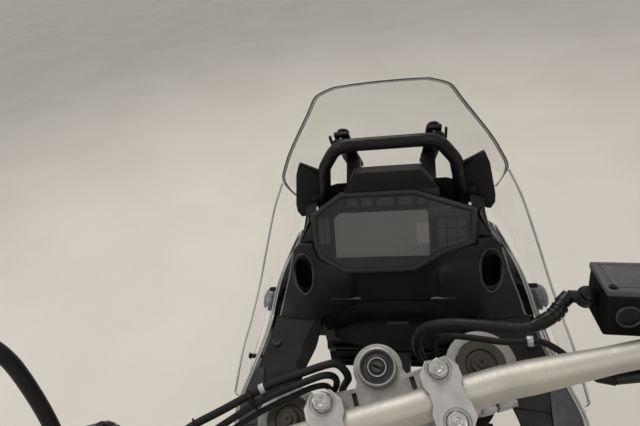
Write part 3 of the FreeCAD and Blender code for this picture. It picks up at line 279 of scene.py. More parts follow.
# Colour, roughness, metallic, mottle, depth of the mottle, grain, pebble and specular level.
OPAQUE = {
    "grained_charcoal": (("charcoal", 1), (0.42, 0.56), 0, 22, 0.14, (1500, 0.03), (950, 0.05), 0.3),
    "gloss_black_plastic": ((0.004, 0.004, 0.0046), (0.16, 0.26), 0, 14, 0.2, (260, 0.006), None, 0.3),
    "satin_black_plastic": ((0.0055, 0.0053, 0.006), (0.42, 0.56), 0, 24, 0.18, (1300, 0.03), None, 0.28),
    "smooth_bezel": ((0.016, 0.0158, 0.0165), (0.3, 0.4), 0, 30, 0.1, (1600, 0.015), None, 0.4),
    "satin_moulding": ((0.03, 0.029, 0.031), (0.3, 0.42), 0, 45, 0.14, (1200, 0.012), None, 0.45),
    # Painted highlight: light strips that stand for the highlights in the cowl's slots and on its outer edges.
    "pale_edge_strip": ((0.2, 0.198, 0.2), (0.26, 0.4), 0.4, 60, 0.12, (900, 0.01)),
    # Silver edge strip, made lighter to paint the highlight along the side cowls' top edges.
    "silver_strip": ((0.42, 0.41, 0.39), (0.3, 0.42), 0.5, 40, 0.16, (900, 0.01)),
    # Painted highlight: an opaque light rod that stands for the bright rims of the clear screens.
    "polished_screen_edge": ((0.52, 0.5, 0.47), (0.12, 0.24), 0, 26, 0.12, (900, 0.006)),
    "crackle_lid": ((0.072, 0.066, 0.073), (0.46, 0.6), 0, 90, 0.16, (1400, 0.06), (620, 0.08), 0.4),
    # Painted shade: a darker black for hollows and for pieces that lie in shade low in the fairing.
    "deep_black_moulding": ((0.0026, 0.0025, 0.003), (0.5, 0.64), 0, 30, 0.2, (1300, 0.03), None, 0.15),
    "satin_yoke": (("cast_tint", 0.72), (0.4, 0.52), 0.8, 110, 0.1, (1500, 0.04)),
    # Painted reflection: a dark line that stands for the dark band along the clear screen's edge.
    "dark_screen_line": ((0.03, 0.025, 0.032), (0.2, 0.34), 0, 60, 0.2, (900, 0.006)),
    "smoky_anodised": ((0.07, 0.063, 0.057), (0.3, 0.42), 0.7, 60, 0.14, (1100, 0.014)),
    "plated_bolts": ((0.44, 0.44, 0.43), (0.26, 0.38), 1, 110, 0.1, (800, 0.014)),
    "side_grey_paint": (("side_grey", 1), (0.24, 0.34), 0, 1800, 0.22, (320, 0.008), None, 0.4),
    "satin_frame_paint": ((0.006, 0.006, 0.0065), (0.34, 0.46), 0, 30, 0.12, (420, 0.02), None, 0.3),
    "black_powder_coat": ((0.0045, 0.0042, 0.0052), (0.34, 0.46), 0, 35, 0.12, (1300, 0.05), None, 0.26),
    "ground_steel": ((0.5, 0.5, 0.51), (0.22, 0.36), 1, 70, 0.1, (700, 0.012)),
    "satin_cast_silver": (("cast_tint", 1), (0.42, 0.54), 0.8, 120, 0.08, (1500, 0.04), (1400, 0.02)),
    "black_anodised": ((0.009, 0.009, 0.0098), (0.28, 0.4), 0.6, 60, 0.12, (1100, 0.014)),
    "soft_black_rubber": ((0.0045, 0.0043, 0.0048), (0.5, 0.66), 0, 55, 0.25, (1200, 0.06), None, 0.25),
    "bright_lock_metal": ((0.62, 0.62, 0.61), (0.12, 0.24), 1, 150, 0.06, (500, 0.01)),
    "mirror_silver": ((0.86, 0.88, 0.9), (0.01, 0.03), 1, 20, 0.01, (30, 0.001)),
    "lamp_bowl": ((0.8, 0.8, 0.8), (0.08, 0.16), 1, 30, 0.04, (60, 0.03)),
    "reading_panel": (("reading_grey", 1), (0.35, 0.45), 0, 9, 0.07, (1600, 0.005)),
    "display_black": ((0.012, 0.0105, 0.0115), (0.4, 0.5), 0, 15, 0.15, (900, 0.004)),
    "display_cells": ((0.04, 0.0345, 0.0415), (0.4, 0.5), 0, 25, 0.14, (900, 0.004)),
    "display_patch": ((0.24, 0.215, 0.205), (0.36, 0.46), 0, 60, 0.12, (900, 0.004)),
}
# Colour, roughness, height and scale of the wave, and where they differ, IOR and transmission.
CLEAR = {
    "clear_polycarbonate": ((0.975, 0.985, 0.98), (0.0, 0.025), 0.05, 14),
    "lamp_cover": ((0.96, 0.97, 0.985), (0.0, 0.03), 0.1, 40),
    "signal_lens": (("signal_smoke", 1), (0.14, 0.22), 0.05, 90, 1.49, 0.08),
    "display_window": ((0.93, 0.93, 0.94), (0.05, 0.1), 0.01, 30, 1.16),
}
OTHER = {"brushed_bar": brushed_bar, "ribbed_sleeve": ribbed_sleeve, "pale_floor": pale_floor}
SLOT_FINISH = {
    "frame_black": "satin_frame_paint", "steel": "ground_steel", "dark_panel": "grained_charcoal",
    "gloss_black": "gloss_black_plastic", "side_paint": "side_grey_paint", "hoop_black": "black_powder_coat",
    "silver_alloy": "satin_cast_silver", "bar_alloy": "brushed_bar", "black_alloy": "black_anodised",
    "lock_metal": "bright_lock_metal", "rubber": "soft_black_rubber", "clear_screen": "clear_polycarbonate",
    "display_pane": "display_window", "lamp_clear": "lamp_cover", "signal_smoke": "signal_lens",
    "mirror": "mirror_silver",
}


def finish(name):
    """One material for each finish."""
    if name in OPAQUE:
        return once(opaque_finish, name, *OPAQUE[name])
    if name in CLEAR:
        return once(clear_finish, name, *CLEAR[name])
    return once(OTHER[name], name)


# Mesh makers. Every one takes millimetres and returns a bmesh in metres.
def placed(mesh, where=HERE):
    mesh.transform(where)
    if where.determinant() < 0:
        bmesh.ops.reverse_faces(mesh, faces=mesh.faces)
    return mesh


def closed(mesh, where=HERE):
    bmesh.ops.remove_doubles(mesh, verts=mesh.verts, dist=MERGE_DISTANCE)
    bmesh.ops.recalc_face_normals(mesh, faces=mesh.faces)
    return placed(mesh, where)


def skinned(rings, where=HERE, loop=False, ends=False):
    """A closed mesh over rings of points. A ring of one point is a pole."""
    mesh = bmesh.new()
    rows = [[mesh.verts.new(at(*point)) for point in ring] for ring in rings]
    if ends:
        mesh.faces.new(rows[0][::-1])
        mesh.faces.new(rows[-1])
    for a, b in zip(rows, rows[1:] + rows[:1] if loop else rows[1:]):
        count = max(len(a), len(b))
        for k in range(count):
            j = (k + 1) % count
            corners = (a[k % len(a)], a[j % len(a)], b[j % len(b)], b[k % len(b)])
            mesh.faces.new(tuple(dict.fromkeys(corners)))
    return closed(mesh, where)


def oval(across, up, count=40, middle=(0, 0), turn=0):
    turns = [2 * math.pi * k / count + turn for k in range(count)]
    return [(middle[0] + across * math.cos(angle), middle[1] + up * math.sin(angle)) for angle in turns]


def oblong(left, low, right, high):
    return [(left, low), (right, low), (right, high), (left, high)]


def prism(outline, low, high, where=HERE):
    """A straight piece of one outline."""
    return skinned([[(x, y, level) for x, y in outline] for level in (low, high)], where, ends=True)


def frame_ring(outer, inner, low, high, where=HERE):
    """A flat frame between two outlines with the same number of corners."""
    loops = ((outer, low), (outer, high), (inner, high), (inner, low))
    return skinned([[(x, y, level) for x, y in outline] for outline, level in loops], where, loop=True)


def lathe(profile, where=HERE, steps=40, loop=False):
    """A turned piece from radius and height."""
    rings = [[(x, y, height) for x, y in oval(radius, radius, steps if radius else 1)] for radius, height in profile]
    return skinned(rings, where, loop)


def curve_through(points, steps, loop=False):
    """Points on a smooth line through the given ones."""
    line = [Vector(point) for point in points]
    if loop:
        ends = line[-1:] + line + line[:2]
    else:
        ends = [line[0] * 2 - line[1]] + line + [line[-1] * 2 - line[-2]]
    out = []
    for a, b, c, d in zip(ends, ends[1:], ends[2:], ends[3:]):
        for t in (k / steps for k in range(steps)):
            out.append(0.5 * (2 * b + (c - a) * t + (2 * a - 5 * b + 4 * c - d) * t * t
                              + (3 * b - a - 3 * c + d) * t ** 3))
    return out if loop else out + line[-1:]


def smooth_grid(rows, across, along):
    """A fine grid through rows of points."""
    fine = [curve_through(row, across) for row in rows]
    columns = [curve_through(column, along) for column in zip(*fine)]
    return [list(line) for line in zip(*columns)]


def sheet(near, far, where=HERE):
    """A closed sheet between two grids of one size."""
    mesh = bmesh.new()
    one, two = [[[mesh.verts.new(at(*point)) for point in row] for row in grid] for grid in (near, far)]
    rows, cols = len(one), len(one[0])
    for side in (one, two):
        for a, b in zip(side, side[1:]):
            for j in range(cols - 1):
                mesh.faces.new((a[j], a[j + 1], b[j + 1], b[j]))
    border = [(0, j) for j in range(cols)] + [(i, cols - 1) for i in range(1, rows)]
    border += [(rows - 1, j) for j in range(cols - 2, -1, -1)] + [(i, 0) for i in range(rows - 2, 0, -1)]
    for (i, j), (k, m) in zip(border, border[1:] + border[:1]):
        mesh.faces.new((one[i][j], two[i][j], two[k][m], one[k][m]))
    return closed(mesh, where)


def skin(rows, counts, wall, where=HERE):
    """A closed sheet through rows of points, its wall along a step."""
    grid = smooth_grid(rows, *counts)
    return sheet(grid, [[point + Vector(wall) for point in row] for row in grid], where)


def with_middles(pairs):
    """Rows of two points with their middle."""
    return [(a, tuple((p + q) / 2 for p, q in zip(a, b)), b) for a, b in pairs]


def curve_mesh(points, smooth, cyclic=False, **settings):
    """The mesh of a curve through points."""
    line = bpy.data.curves.new("line", "CURVE")
    line.dimensions = "3D"
    for name, value in settings.items():
        setattr(line, name, value)
    spline = line.splines.new("NURBS" if smooth else "POLY")
    spline.points.add(len(points) - 1)
    for slot, point in zip(spline.points, points):
        slot.co = (*point, 1)
    if smooth:
        spline.order_u = 3
        spline.use_endpoint_u = True
    spline.use_cyclic_u = cyclic
    holder = bpy.data.objects.new("line", line)
    bpy.context.scene.collection.objects.link(holder)
    made = bpy.data.meshes.new_from_object(holder.evaluated_get(bpy.context.evaluated_depsgraph_get()))
    bpy.data.objects.remove(holder)
    bpy.data.curves.remove(line)
    return made


def rod(points, radius, where=HERE, smooth=False, steps=10, cyclic=False):
    """A round bar along a line."""
    made = curve_mesh([at(*point) for point in points], smooth, cyclic, bevel_depth=radius * MM,
                      bevel_resolution=steps, use_fill_caps=True, resolution_u=8)
    mesh = bmesh.new()
    mesh.from_mesh(made)
    bpy.data.meshes.remove(made)
    return closed(mesh, where)


def spline_points(points):
    """Points on the smooth spline of a cable's route."""
    made = curve_mesh(points, True, resolution_u=12)
    out = [vert.co.copy() for vert in made.vertices]
    bpy.data.meshes.remove(made)
    return out


def inset(outline, step):
    """An anticlockwise outline moved inward by a step."""
    lines, count = [], len(outline)
    for i in range(count):
        (ax, ay), (bx, by) = outline[i], outline[(i + 1) % count]
        reach = math.hypot(bx - ax, by - ay)
        dx, dy = (bx - ax) / reach, (by - ay) / reach
        lines.append((ax - dy * step, ay + dx * step, dx, dy))
    corners = []
    for (ax, ay, adx, ady), (bx, by, bdx, bdy) in zip(lines[-1:] + lines, lines):
        run = ((bx - ax) * bdy - (by - ay) * bdx) / (adx * bdy - ady * bdx)
        corners.append((ax + adx * run, ay + ady * run))
    return corners


def along(points, distance):
    """Place and direction at a distance along a line of points."""
    run = 0.0
    for a, b in zip(points, points[1:]):
        step = (b - a).length
        if run + step >= distance:
            return a.lerp(b, (distance - run) / step), (b - a).normalized()
        run += step
    return points[-1], (points[-1] - points[-2]).normalized()


def sleeve(points, profile, steps=20):
    """A turned piece that follows a line on the steering: distance along it and radius."""
    rings = []
    for distance, radius in profile:
        place, way = along(points, distance)
        side = way.cross(Vector((0.2, 1, 0.1))).normalized()
        rise = side.cross(way)
        rings.append([place + side * x + rise * y for x, y in oval(radius, radius, steps)])
    return skinned(rings, STEER, ends=True)


def ribbed(start, count, pitch, low, high):
    """A profile with rounded ribs: distance and radius."""
    profile = [(start, low - 0.4)]
    for rib in range(count):
        base = start + rib * pitch
        profile += [(base + pitch * 0.08, low), (base + pitch * 0.25, high), (base + pitch * 0.62, high),
                    (base + pitch * 0.8, low)]
    return profile + [(start + count * pitch, low), (start + count * pitch + 0.5, low - 0.4)]


def swapped_too(*meshes):
    """Meshes and their mirror images about the steering's middle plane."""
    return [*meshes, *(placed(mesh.copy(), SWAPPED) for mesh in meshes)]


# Objects.
def thing(name, *meshes):
    """One object from closed meshes."""
    data = bpy.data.meshes.new(name)
    whole = bmesh.new()
    for mesh in meshes:
        part = bpy.data.meshes.new("part")
        mesh.to_mesh(part)
        mesh.free()
        whole.from_mesh(part)
        bpy.data.meshes.remove(part)
    whole.to_mesh(data)
    whole.free()
    made = bpy.data.objects.new(name, data)
    bpy.context.scene.collection.objects.link(made)
    return made


def taken(made):
    """An object's mesh, for use in another."""
    data = made.data
    mesh = bmesh.new()
    mesh.from_mesh(data)
    bpy.data.objects.remove(made)
    bpy.data.meshes.remove(data)
    return mesh


def settled(made, angle=SMOOTH_ANGLE):
    """Make an object's modifiers part of its mesh and smooth what is round."""
    bpy.context.view_layer.update()
    data = bpy.data.meshes.new_from_object(made.evaluated_get(bpy.context.evaluated_depsgraph_get()))
    made.modifiers.clear()
    old = made.data
    made.data = data
    data.name = made.name
    bpy.data.meshes.remove(old)
    data.shade_smooth()
    data.set_sharp_from_angle(angle=math.radians(angle))
    return made


def carved(made, *cutters):
    """Cut closed meshes out of an object."""
    for index, mesh in enumerate(cutters):
        tool = thing(f"cutter{index}", mesh)
        change = made.modifiers.new("cut", "BOOLEAN")
        change.operation = "DIFFERENCE"
        change.solver = "EXACT"
        change.object = tool
        settled(made)
        taken(tool).free()
    return made


def softened(made, width=None, angle=BEVEL_ANGLE, segments=3):
    """Round an object's edges, by the setting if no width is given."""
    change = made.modifiers.new("edges", "BEVEL")
    change.width = sizes().edge if width is None else width * MM
    change.segments = segments
    change.limit_method = "ANGLE"
    change.angle_limit = math.radians(angle)
    change.miter_outer = "MITER_ARC"
    return settled(made)


def copy_of(node, name=None):
    """A merged copy of a CAD node, to be rounded."""
    whole = bmesh.new()
    whole.from_mesh(nodes[node].data)
    bmesh.ops.remove_doubles(whole, verts=whole.verts, dist=2e-6)
    bmesh.ops.dissolve_limit(whole, angle_limit=math.radians(1.5), verts=whole.verts, edges=whole.edges)
    return thing(name or node, whole)


def dressed(made, material, body, name, stands_for=None):
    """Give a piece its finish, its body and the nodes that it stands for: the one of its name, if none is given."""
    if stands_for is None:
        stands_for = (name,) if name in nodes else ()
    made.data.materials.clear()
    made.data.materials.append(finish(material))
    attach(made, body)
    if stands_for:
        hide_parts(*stands_for)
    return made


def piece(body, name, material, slot, *meshes, cut=(), soft=None, angle=SMOOTH_ANGLE, stands_for=None):
    """One finished object from closed meshes, cut and with its edges rounded where it says so."""
    made = carved(thing(name, *meshes), *cut)
    made = settled(made, angle) if soft is None else softened(made, *soft)
    dressed(made, material, body, name, stands_for)


def fixed(*values, **options):
    piece("fairing", *values, **options)


def steered(*values, **options):
    piece("steering", *values, **options)


def both_sides(name, material, slot, make, **options):
    """Pieces on the right and their mirror images."""
    for side, where in (("right", HERE), ("left", ACROSS)):
        fixed(f"{name}_{side}", material, slot, *make(where), **options)


def both_skins(name, material, slot, rows, counts, wall, **options):
    both_sides(name, material, slot, lambda where: [skin(rows, counts, wall, where)], **options)


def rounded(body, material, slot, width, *names):
    """CAD nodes' own shapes with their edges rounded."""
    for name in names:
        dressed(softened(copy_of(name, f"soft_{name}"), width), material, body, name)


# Geometry Nodes for what repeats.
def tree_with(name, inputs):
    """A tree with its inputs, the last of them a material."""
    tree = bpy.data.node_groups.new(name, "GeometryNodeTree")
    for label, kind, value in (("Geometry", "Geometry", None), *inputs, ("Material", "Material", None)):
        socket = tree.interface.new_socket(label, in_out="INPUT", socket_type=f"NodeSocket{kind}")
        if value is not None:
            socket.default_value = value
    tree.interface.new_socket("Geometry", in_out="OUTPUT", socket_type="NodeSocketGeometry")
    return tree, tree.nodes.new("NodeGroupInput").outputs


def ended(tree, copies, source):
    """Realize the copies and give them their material."""
    real = add_node(tree, "GeometryNodeRealizeInstances", {"Geometry": copies.outputs["Instances"]})
    coated = add_node(tree, "GeometryNodeSetMaterial", {"Geometry": real.outputs["Geometry"],
                                                        "Material": source["Material"]})
    add_node(tree, "NodeGroupOutput", {"Geometry": coated.outputs["Geometry"]})
    return tree


def fastener_tree():
    """A washer, a head with the given number of sides and a drive recess at every point, along its facing."""
    tree, source = tree_with("Fasteners", (
        ("Head Radius", "Float", 0.005), ("Head Height", "Float", 0.004), ("Sides", "Int", 6),
        ("Washer Radius", "Float", 0.007), ("Washer Height", "Float", 0.0012), ("Recess Radius", "Float", 0.002)))
    height, rise = source["Head Height"], source["Washer Height"]

    def disc(sides, radius, depth, *lifts):
        """A cylinder, raised by a sum of sizes times their shares."""
        made = add_node(tree, "GeometryNodeMeshCylinder", {"Vertices": sides, "Radius": radius, "Depth": depth})
        total = 0.0
        for size, share in lifts:
            total = add_node(tree, "ShaderNodeMath", {0: size, 1: share, 2: total},
                             operation="MULTIPLY_ADD").outputs[0]
        place = add_node(tree, "ShaderNodeCombineXYZ", {"Z": total})
        lifted = add_node(tree, "GeometryNodeTransform", {"Geometry": made.outputs["Mesh"],
                                                          "Translation": place.outputs["Vector"]})
        return lifted.outputs["Geometry"]

    head = disc(source["Sides"], source["Head Radius"], height, (height, 0.5), (rise, 1.0))
    recess = disc(6, source["Recess Radius"], height, (height, 1.05), (rise, 1.0))
    washer = disc(24, source["Washer Radius"], rise, (rise, 0.5))
    drilled = add_node(tree, "GeometryNodeMeshBoolean", {"Mesh 1": head, "Mesh 2": recess}, operation="DIFFERENCE")
    both = add_node(tree, "GeometryNodeJoinGeometry", {"Geometry": drilled.outputs["Mesh"]})
    tree.links.new(washer, both.inputs["Geometry"])
    facing = add_node(tree, "GeometryNodeInputNamedAttribute", {"Name": "facing"}, data_type="FLOAT_VECTOR")
    turn = add_node(tree, "FunctionNodeAlignRotationToVector", {"Vector": facing.outputs["Attribute"]}, axis="Z")
    copies = add_node(tree, "GeometryNodeInstanceOnPoints", {
        "Points": source["Geometry"], "Instance": both.outputs["Geometry"], "Rotation": turn.outputs["Rotation"]})
    return ended(tree, copies, source)


def rib_tree():
    """Equal rounded ribs round Z, one above the other."""
    tree, source = tree_with("Ribs", (("Count", "Int", 12), ("Spacing", "Float", 0.006),
                                      ("Ring Radius", "Float", 0.016), ("Rib Radius", "Float", 0.0012)))
    step = add_node(tree, "ShaderNodeCombineXYZ", {"Z": source["Spacing"]})
    line = add_node(tree, "GeometryNodeMeshLine", {"Count": source["Count"], "Offset": step.outputs["Vector"]})
    ring, section = [add_node(tree, "GeometryNodeCurvePrimitiveCircle", {"Resolution": count, "Radius": source[size]})
                     for count, size in ((36, "Ring Radius"), (8, "Rib Radius"))]
    rib = add_node(tree, "GeometryNodeCurveToMesh", {"Curve": ring.outputs["Curve"],
                                                     "Profile Curve": section.outputs["Curve"]})
    copies = add_node(tree, "GeometryNodeInstanceOnPoints", {"Points": line.outputs["Mesh"],
                                                             "Instance": rib.outputs["Mesh"]})
    return ended(tree, copies, source)


def run_tree(name, maker, values, points=((0, 0, 0),), facing=(), where=HERE):
    """A plain mesh from a tree, with its inputs set by their identifiers."""
    data = bpy.data.meshes.new(name)
    data.from_pydata([tuple(point) for point in points], [], [])
    if facing:
        layer = data.attributes.new("facing", "FLOAT_VECTOR", "POINT")
        layer.data.foreach_set("vector", [part for line in facing for part in line])
    made = bpy.data.objects.new(name, data)
    change = made.modifiers.new("tree", "NODES")
    change.node_group = once(maker)
    for item in change.node_group.interface.items_tree:
        if item.item_type == "SOCKET" and item.in_out == "INPUT" and item.name in values:
            change[item.identifier] = values[item.name]
    bpy.context.scene.collection.objects.link(made)
    mesh = taken(settled(made))
    return settled(thing(name, placed(mesh, where)), 30)


def fasteners(name, body, where, spots, radius, height, sides, washer, recess):
    """Black bolt heads or screws at spots of a frame: place and, if it isn't Z, facing."""
    facing = where.to_3x3()
    values = {"Head Radius": radius * MM, "Head Height": height * MM, "Sides": sides, "Washer Radius": washer * MM,
              "Washer Height": WASHER_HEIGHT * MM, "Recess Radius": recess * MM,
              "Material": finish("black_anodised")}
    made = run_tree(name, fastener_tree, values, [where @ at(*place) for place, *_ in spots],
                    [(facing @ Vector(way[0] if way else (0, 0, 1))).normalized() for _, *way in spots])
    dressed(made, "black_anodised", body, name)


# Tables shared with the model's source.
display_outline = [(-104, 27), (-103, -16), (-97, -32), (-64, -52), (26, -51), (64, -29), (103, -17), (104, 27),
                   (30, 54), (-64, 54)]
cowl_heights = (
    (172, ((0, 252), (50, 250), (84, 246), (106, 243.5), (118, 244.5), (127, 246.8))),
    (150, ((0, 244), (50, 243), (84, 238), (106, 234), (120, 235), (133, 241.5))),
    (126, ((0, 246), (46, 243), (62, 232), (105, 223), (125, 224), (140, 233.4))),
    (100, ((0, 244), (46, 240), (62, 228), (104, 212), (128, 216), (149.5, 227.5))),
    (78, ((0, 240), (46, 237), (66, 226), (104, 206), (130, 206), (157, 210))),
)
slot_lines = (
    ((-86.3, 218.8, 100.2), (-77.7, 222, 97.1), (-67.8, 225.8, 93.5), (-59.2, 230.2, 89.4), (-49.4, 235.8, 84.1)),
    ((44.6, 237.8, 81.1), (53.5, 233.7, 85.6), (62.1, 228.1, 90.6), (75.3, 222.8, 96.2)),
)
ear_x, ear_z, ear_half, ear_rise = 117.5, 135.5, 12, 23
side_trim_rows = (
    (78.1, (157.1, 213.3), (167.2, 208.5)), (100, (149.6, 230.8), (160.2, 224.1)),
    (126, (140.1, 236.7), (150.2, 243.7)), (150, (133.1, 244.8), (135.3, 266.4)),
    (161, (130.7, 247.5), (128.4, 276.8)), (172, (121.2, 249.5), (120.4, 282.6)), (194, (107, 266), (114, 290)),
)
side_cowl_rows = (
    (120, (206, 10), (210, -30), (206, -75)), (145, (190, 38), (205, 0), (208, -80)),
    (175, (176, 62), (196, 20), (206, -85)), (212, (168, 79), (186, 40), (198, -80)),
    (243, (153, 122), (168, 84), (186, -70)), (285, (126, 166), (152, 95), (160, -50)),
    (330, (88, 160), (110, 80), (104, -30)),
)
side_screen_rows = (
    ((144, 306, 231), (119, 304.2, 186)), ((160, 296, 196), (136, 291, 156)), ((175, 275, 150), (158, 268, 120)),
    ((188, 249, 106), (176, 243, 84)), ((198, 216, 74), (190, 212, 50)), ((207, 178, 48), (200, 176, 24)),
    ((215, 137, 12), (210, 136, -12)),
)
screen_edge = ((366, 50), (361, 66), (355, 75), (337, 86), (314, 101), (286, 119), (262, 132), (231, 144),
               (190, 139), (186, 130))
screen_bend, screen_rake, screen_depth, screen_level, knob_x = 231, 32, 355, 240, 57
nose_rows = ((300, 88, 160, 178), (345, 84, 152, 176), (374, 72, 134, 160), (391.2, 60, 112, 132), (368, 66, 100, 106))
clamp_plan = [(-9, 25), (-17, 15), (-17, 5), (-14, -1), (-14, -11), (-17, -17), (-17, -28), (-9, -38),
              (9, -38), (17, -28), (17, -17), (14, -11), (14, -1), (17, 5), (17, 15), (9, 25)]
mirror_outline = [(-76, 20), (-66, -26), (-20, -42), (52, -40), (76, -20), (80, 16), (64, 40), (-50, 42)]
yoke_top = 118
hose_start = ((-22.05, 25, 193), (-26.8, 22.4, 193))
elbow_root, elbow_tip = Vector((281, -38, 174)), Vector((190, -26, 171))
hose_route = ((166.5, 34, 194), (149, 29.5, 191), (133, 30, 189), (121, 36, 187), (99, 47, 183), (75, 58, 177),
              (55, 64, 163), (47, 64, 138), (46, 60, 110), (50, 54, 82), (56, 42, 44), (56, 38, 0), (56, 38, -68))
throttle_route = ((168, -6, 170), (157, 14, 169), (146, 23, 167), (124, 27, 165), (98, 41, 161), (77, 51, 157),
                  (64, 57, 145), (62, 57, 118), (65, 50, 88), (69, 38, 50), (66, 26, 0), (66, 26, -68))
clutch_route = ((-253.3, 10, 195), (-241, 11.4, 195), (-225, 15, 185), (-206, 26, 170), (-187, 38, 157),
                (-160, 44, 153), (-132, 51, 151), (-103, 57, 150), (-72, 58.5, 150), (-50, 60, 149), (-37, 60, 146),
                (-31, 52, 137), (-31, 47, 122), (-37, 50, 100), (-47, 48, 74), (-54, 40, 44), (-54, 38, 0),
                (-54, 38, -68))
wiring_route = ((-289.8, -33.1, 178.05), (-290.4, -31.1, 168.4), (-268, -14, 162), (-240, 2, 160), (-206, 14, 155),
                (-180, 25, 151), (-157, 33, 149), (-121, 44, 148), (-91, 48, 149), (-71, 49.5, 149),
                (-52, 51.5, 148), (-43, 50, 137), (-44, 47, 118), (-52, 46, 96), (-63, 40, 66), (-68, 30, 30),
                (-66, 27, -10), (-66, 27, -68))
heater_route = ((-283, -28, 176), (-281, -24, 166), (-262, -10, 156), (-238, 0, 152), (-206, 9, 147),
                (-180, 19, 143), (-157, 26, 141), (-121, 37, 140), (-91, 41, 141), (-73, 44, 141), (-60, 45, 138),
                (-53, 45, 128), (-53, 42, 112), (-59, 40, 92), (-66, 36, 62), (-70, 25, 30), (-68, 21, -10),
                (-64, 22, -68))

floor_gap, lamp_aim = 0.012, Vector((0, 0.15, 0.1))
camera_place, camera_angles = (36.5, -253.4, 532.2), (-13.8, 31.4, -9.95)
focal_pixels, picture_width = 484, 640


class COCKPIT_OT_finishes(bpy.types.Operator):
    """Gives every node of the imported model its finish"""
    bl_idname = "cockpit.finishes"
    bl_label = "Finishes"

    def execute(self, context):
        packed = {entry["slot"]: SLOT_FINISH[entry["slot"]] for entry in frame["record"]["materials"]}
        for name, item in nodes.items():
            slot = item.data.materials[0].name.split(".")[0] if item.data.materials else None
            if slot not in packed:
                raise RuntimeError(f"{name} has no known slot: {slot}")
            for place in item.material_slots:
                place.material = finish(packed[slot])
            item.data.set_sharp_from_angle(angle=math.radians(SMOOTH_ANGLE))
        return {"FINISHED"}


class COCKPIT_OT_cables(bpy.types.Operator):
    """Builds the brake hose, the cables and the wiring with their ferrules, boots and ties"""
    bl_idname = "cockpit.cables"
    bl_label = "Cables"

    def execute(self, context):
        settings = sizes()
        to_steer = STEER.inverted() @ BLOCK
        hose = [(to_steer @ at(*place)) / MM for place in hose_start] + list(hose_route)
        way = (elbow_tip - elbow_root).normalized()
        throttle = [elbow_tip + way * step for step in (0.05, 9)] + list(throttle_route)
        routes = (("brake_hose", hose, settings.hose_radius, "ribbed_sleeve"),
                  ("throttle_cable", throttle, settings.throttle_radius, "soft_black_rubber"),
                  ("clutch_cable", clutch_route, settings.clutch_radius, "soft_black_rubber"),
                  ("wiring_left", wiring_route, settings.wiring_radius, "ribbed_sleeve"),
                  ("heater_lead", heater_route, settings.wiring_radius * 0.85, "soft_black_rubber"))
        lines, low_boots = {}, []
        for name, route, radius, material in routes:
            cable = rod(route, radius / MM, STEER, smooth=True, steps=6)
            lines[name] = spline_points(route)
            steered(name, material, "rubber", cable, angle=60)
            if name in nodes:
                thick = radius / MM
                low_boots.append(sleeve(lines[name][::-1], ribbed(0.2, 4, 4.5, thick + 0.8, thick + 1.7)))
        ferrule = [(0.5, 4.9), (1, 6.4), (9, 6.4), (10, 5.6), (12, 5.6)] + ribbed(12.5, 3, 4.2, 6.0, 7.0)
        ferrule += [(26, 6.4), (36, 6.4), (37, 5.9), (44, 5.6), (44.5, 5.1)]
        steered("hose_ferrule", "black_anodised", "black_alloy", sleeve(lines["brake_hose"], ferrule, 28), angle=28)
        boots = (("throttle_cable", [(0.3, 3.4), (0.8, 5.2), (12, 5.0), (22, 3.6), (22.5, 3.1)]),
                 ("clutch_cable", ribbed(0.2, 7, 4.4, 5.0, 6.2)),
                 ("wiring_left", [(0.2, 3.6), (0.6, 5.6), (14, 4.8), (24, 4.0), (24.5, 3.6)]))
        boots = [sleeve(lines[name], profile) for name, profile in boots]
        steered("cable_boots", "soft_black_rubber", "rubber", *boots, *low_boots, angle=40)
        clips = [sleeve(lines[name], [(start, 2.9), (start + 0.4, reach), (start + 5.6, reach), (start + 6, 2.9)], 16)
                 for name, start, reach in (("throttle_cable", 69, 4.8), ("clutch_cable", 154, 5.4))]
        steered("cable_clips", "satin_cast_silver", "silver_alloy", *clips, soft=(0.4, 40, 2))
        bands = []
        for distance in (86, 144):
            place, way = along(lines["clutch_cable"], distance)
            other = min(lines["wiring_left"], key=lambda point: (point - place).length)
            middle = (place + other) * 0.5
            half = (place - other).length * 0.5 + 5.2
            stretch = (place - other).normalized()
            narrow = way.cross(stretch).normalized()
            bands.append(rod([middle + stretch * x + narrow * y for x, y in oval(half, 6.6, 32)], 1.1, STEER,
                             cyclic=True, steps=3))
            bands.append(rod([middle + narrow * out - way * 2 for out in (6, 9.5)], 1.9, STEER, steps=2))
        steered("cable_ties", "soft_black_rubber", "rubber", *bands, angle=40)
        return {"FINISHED"}


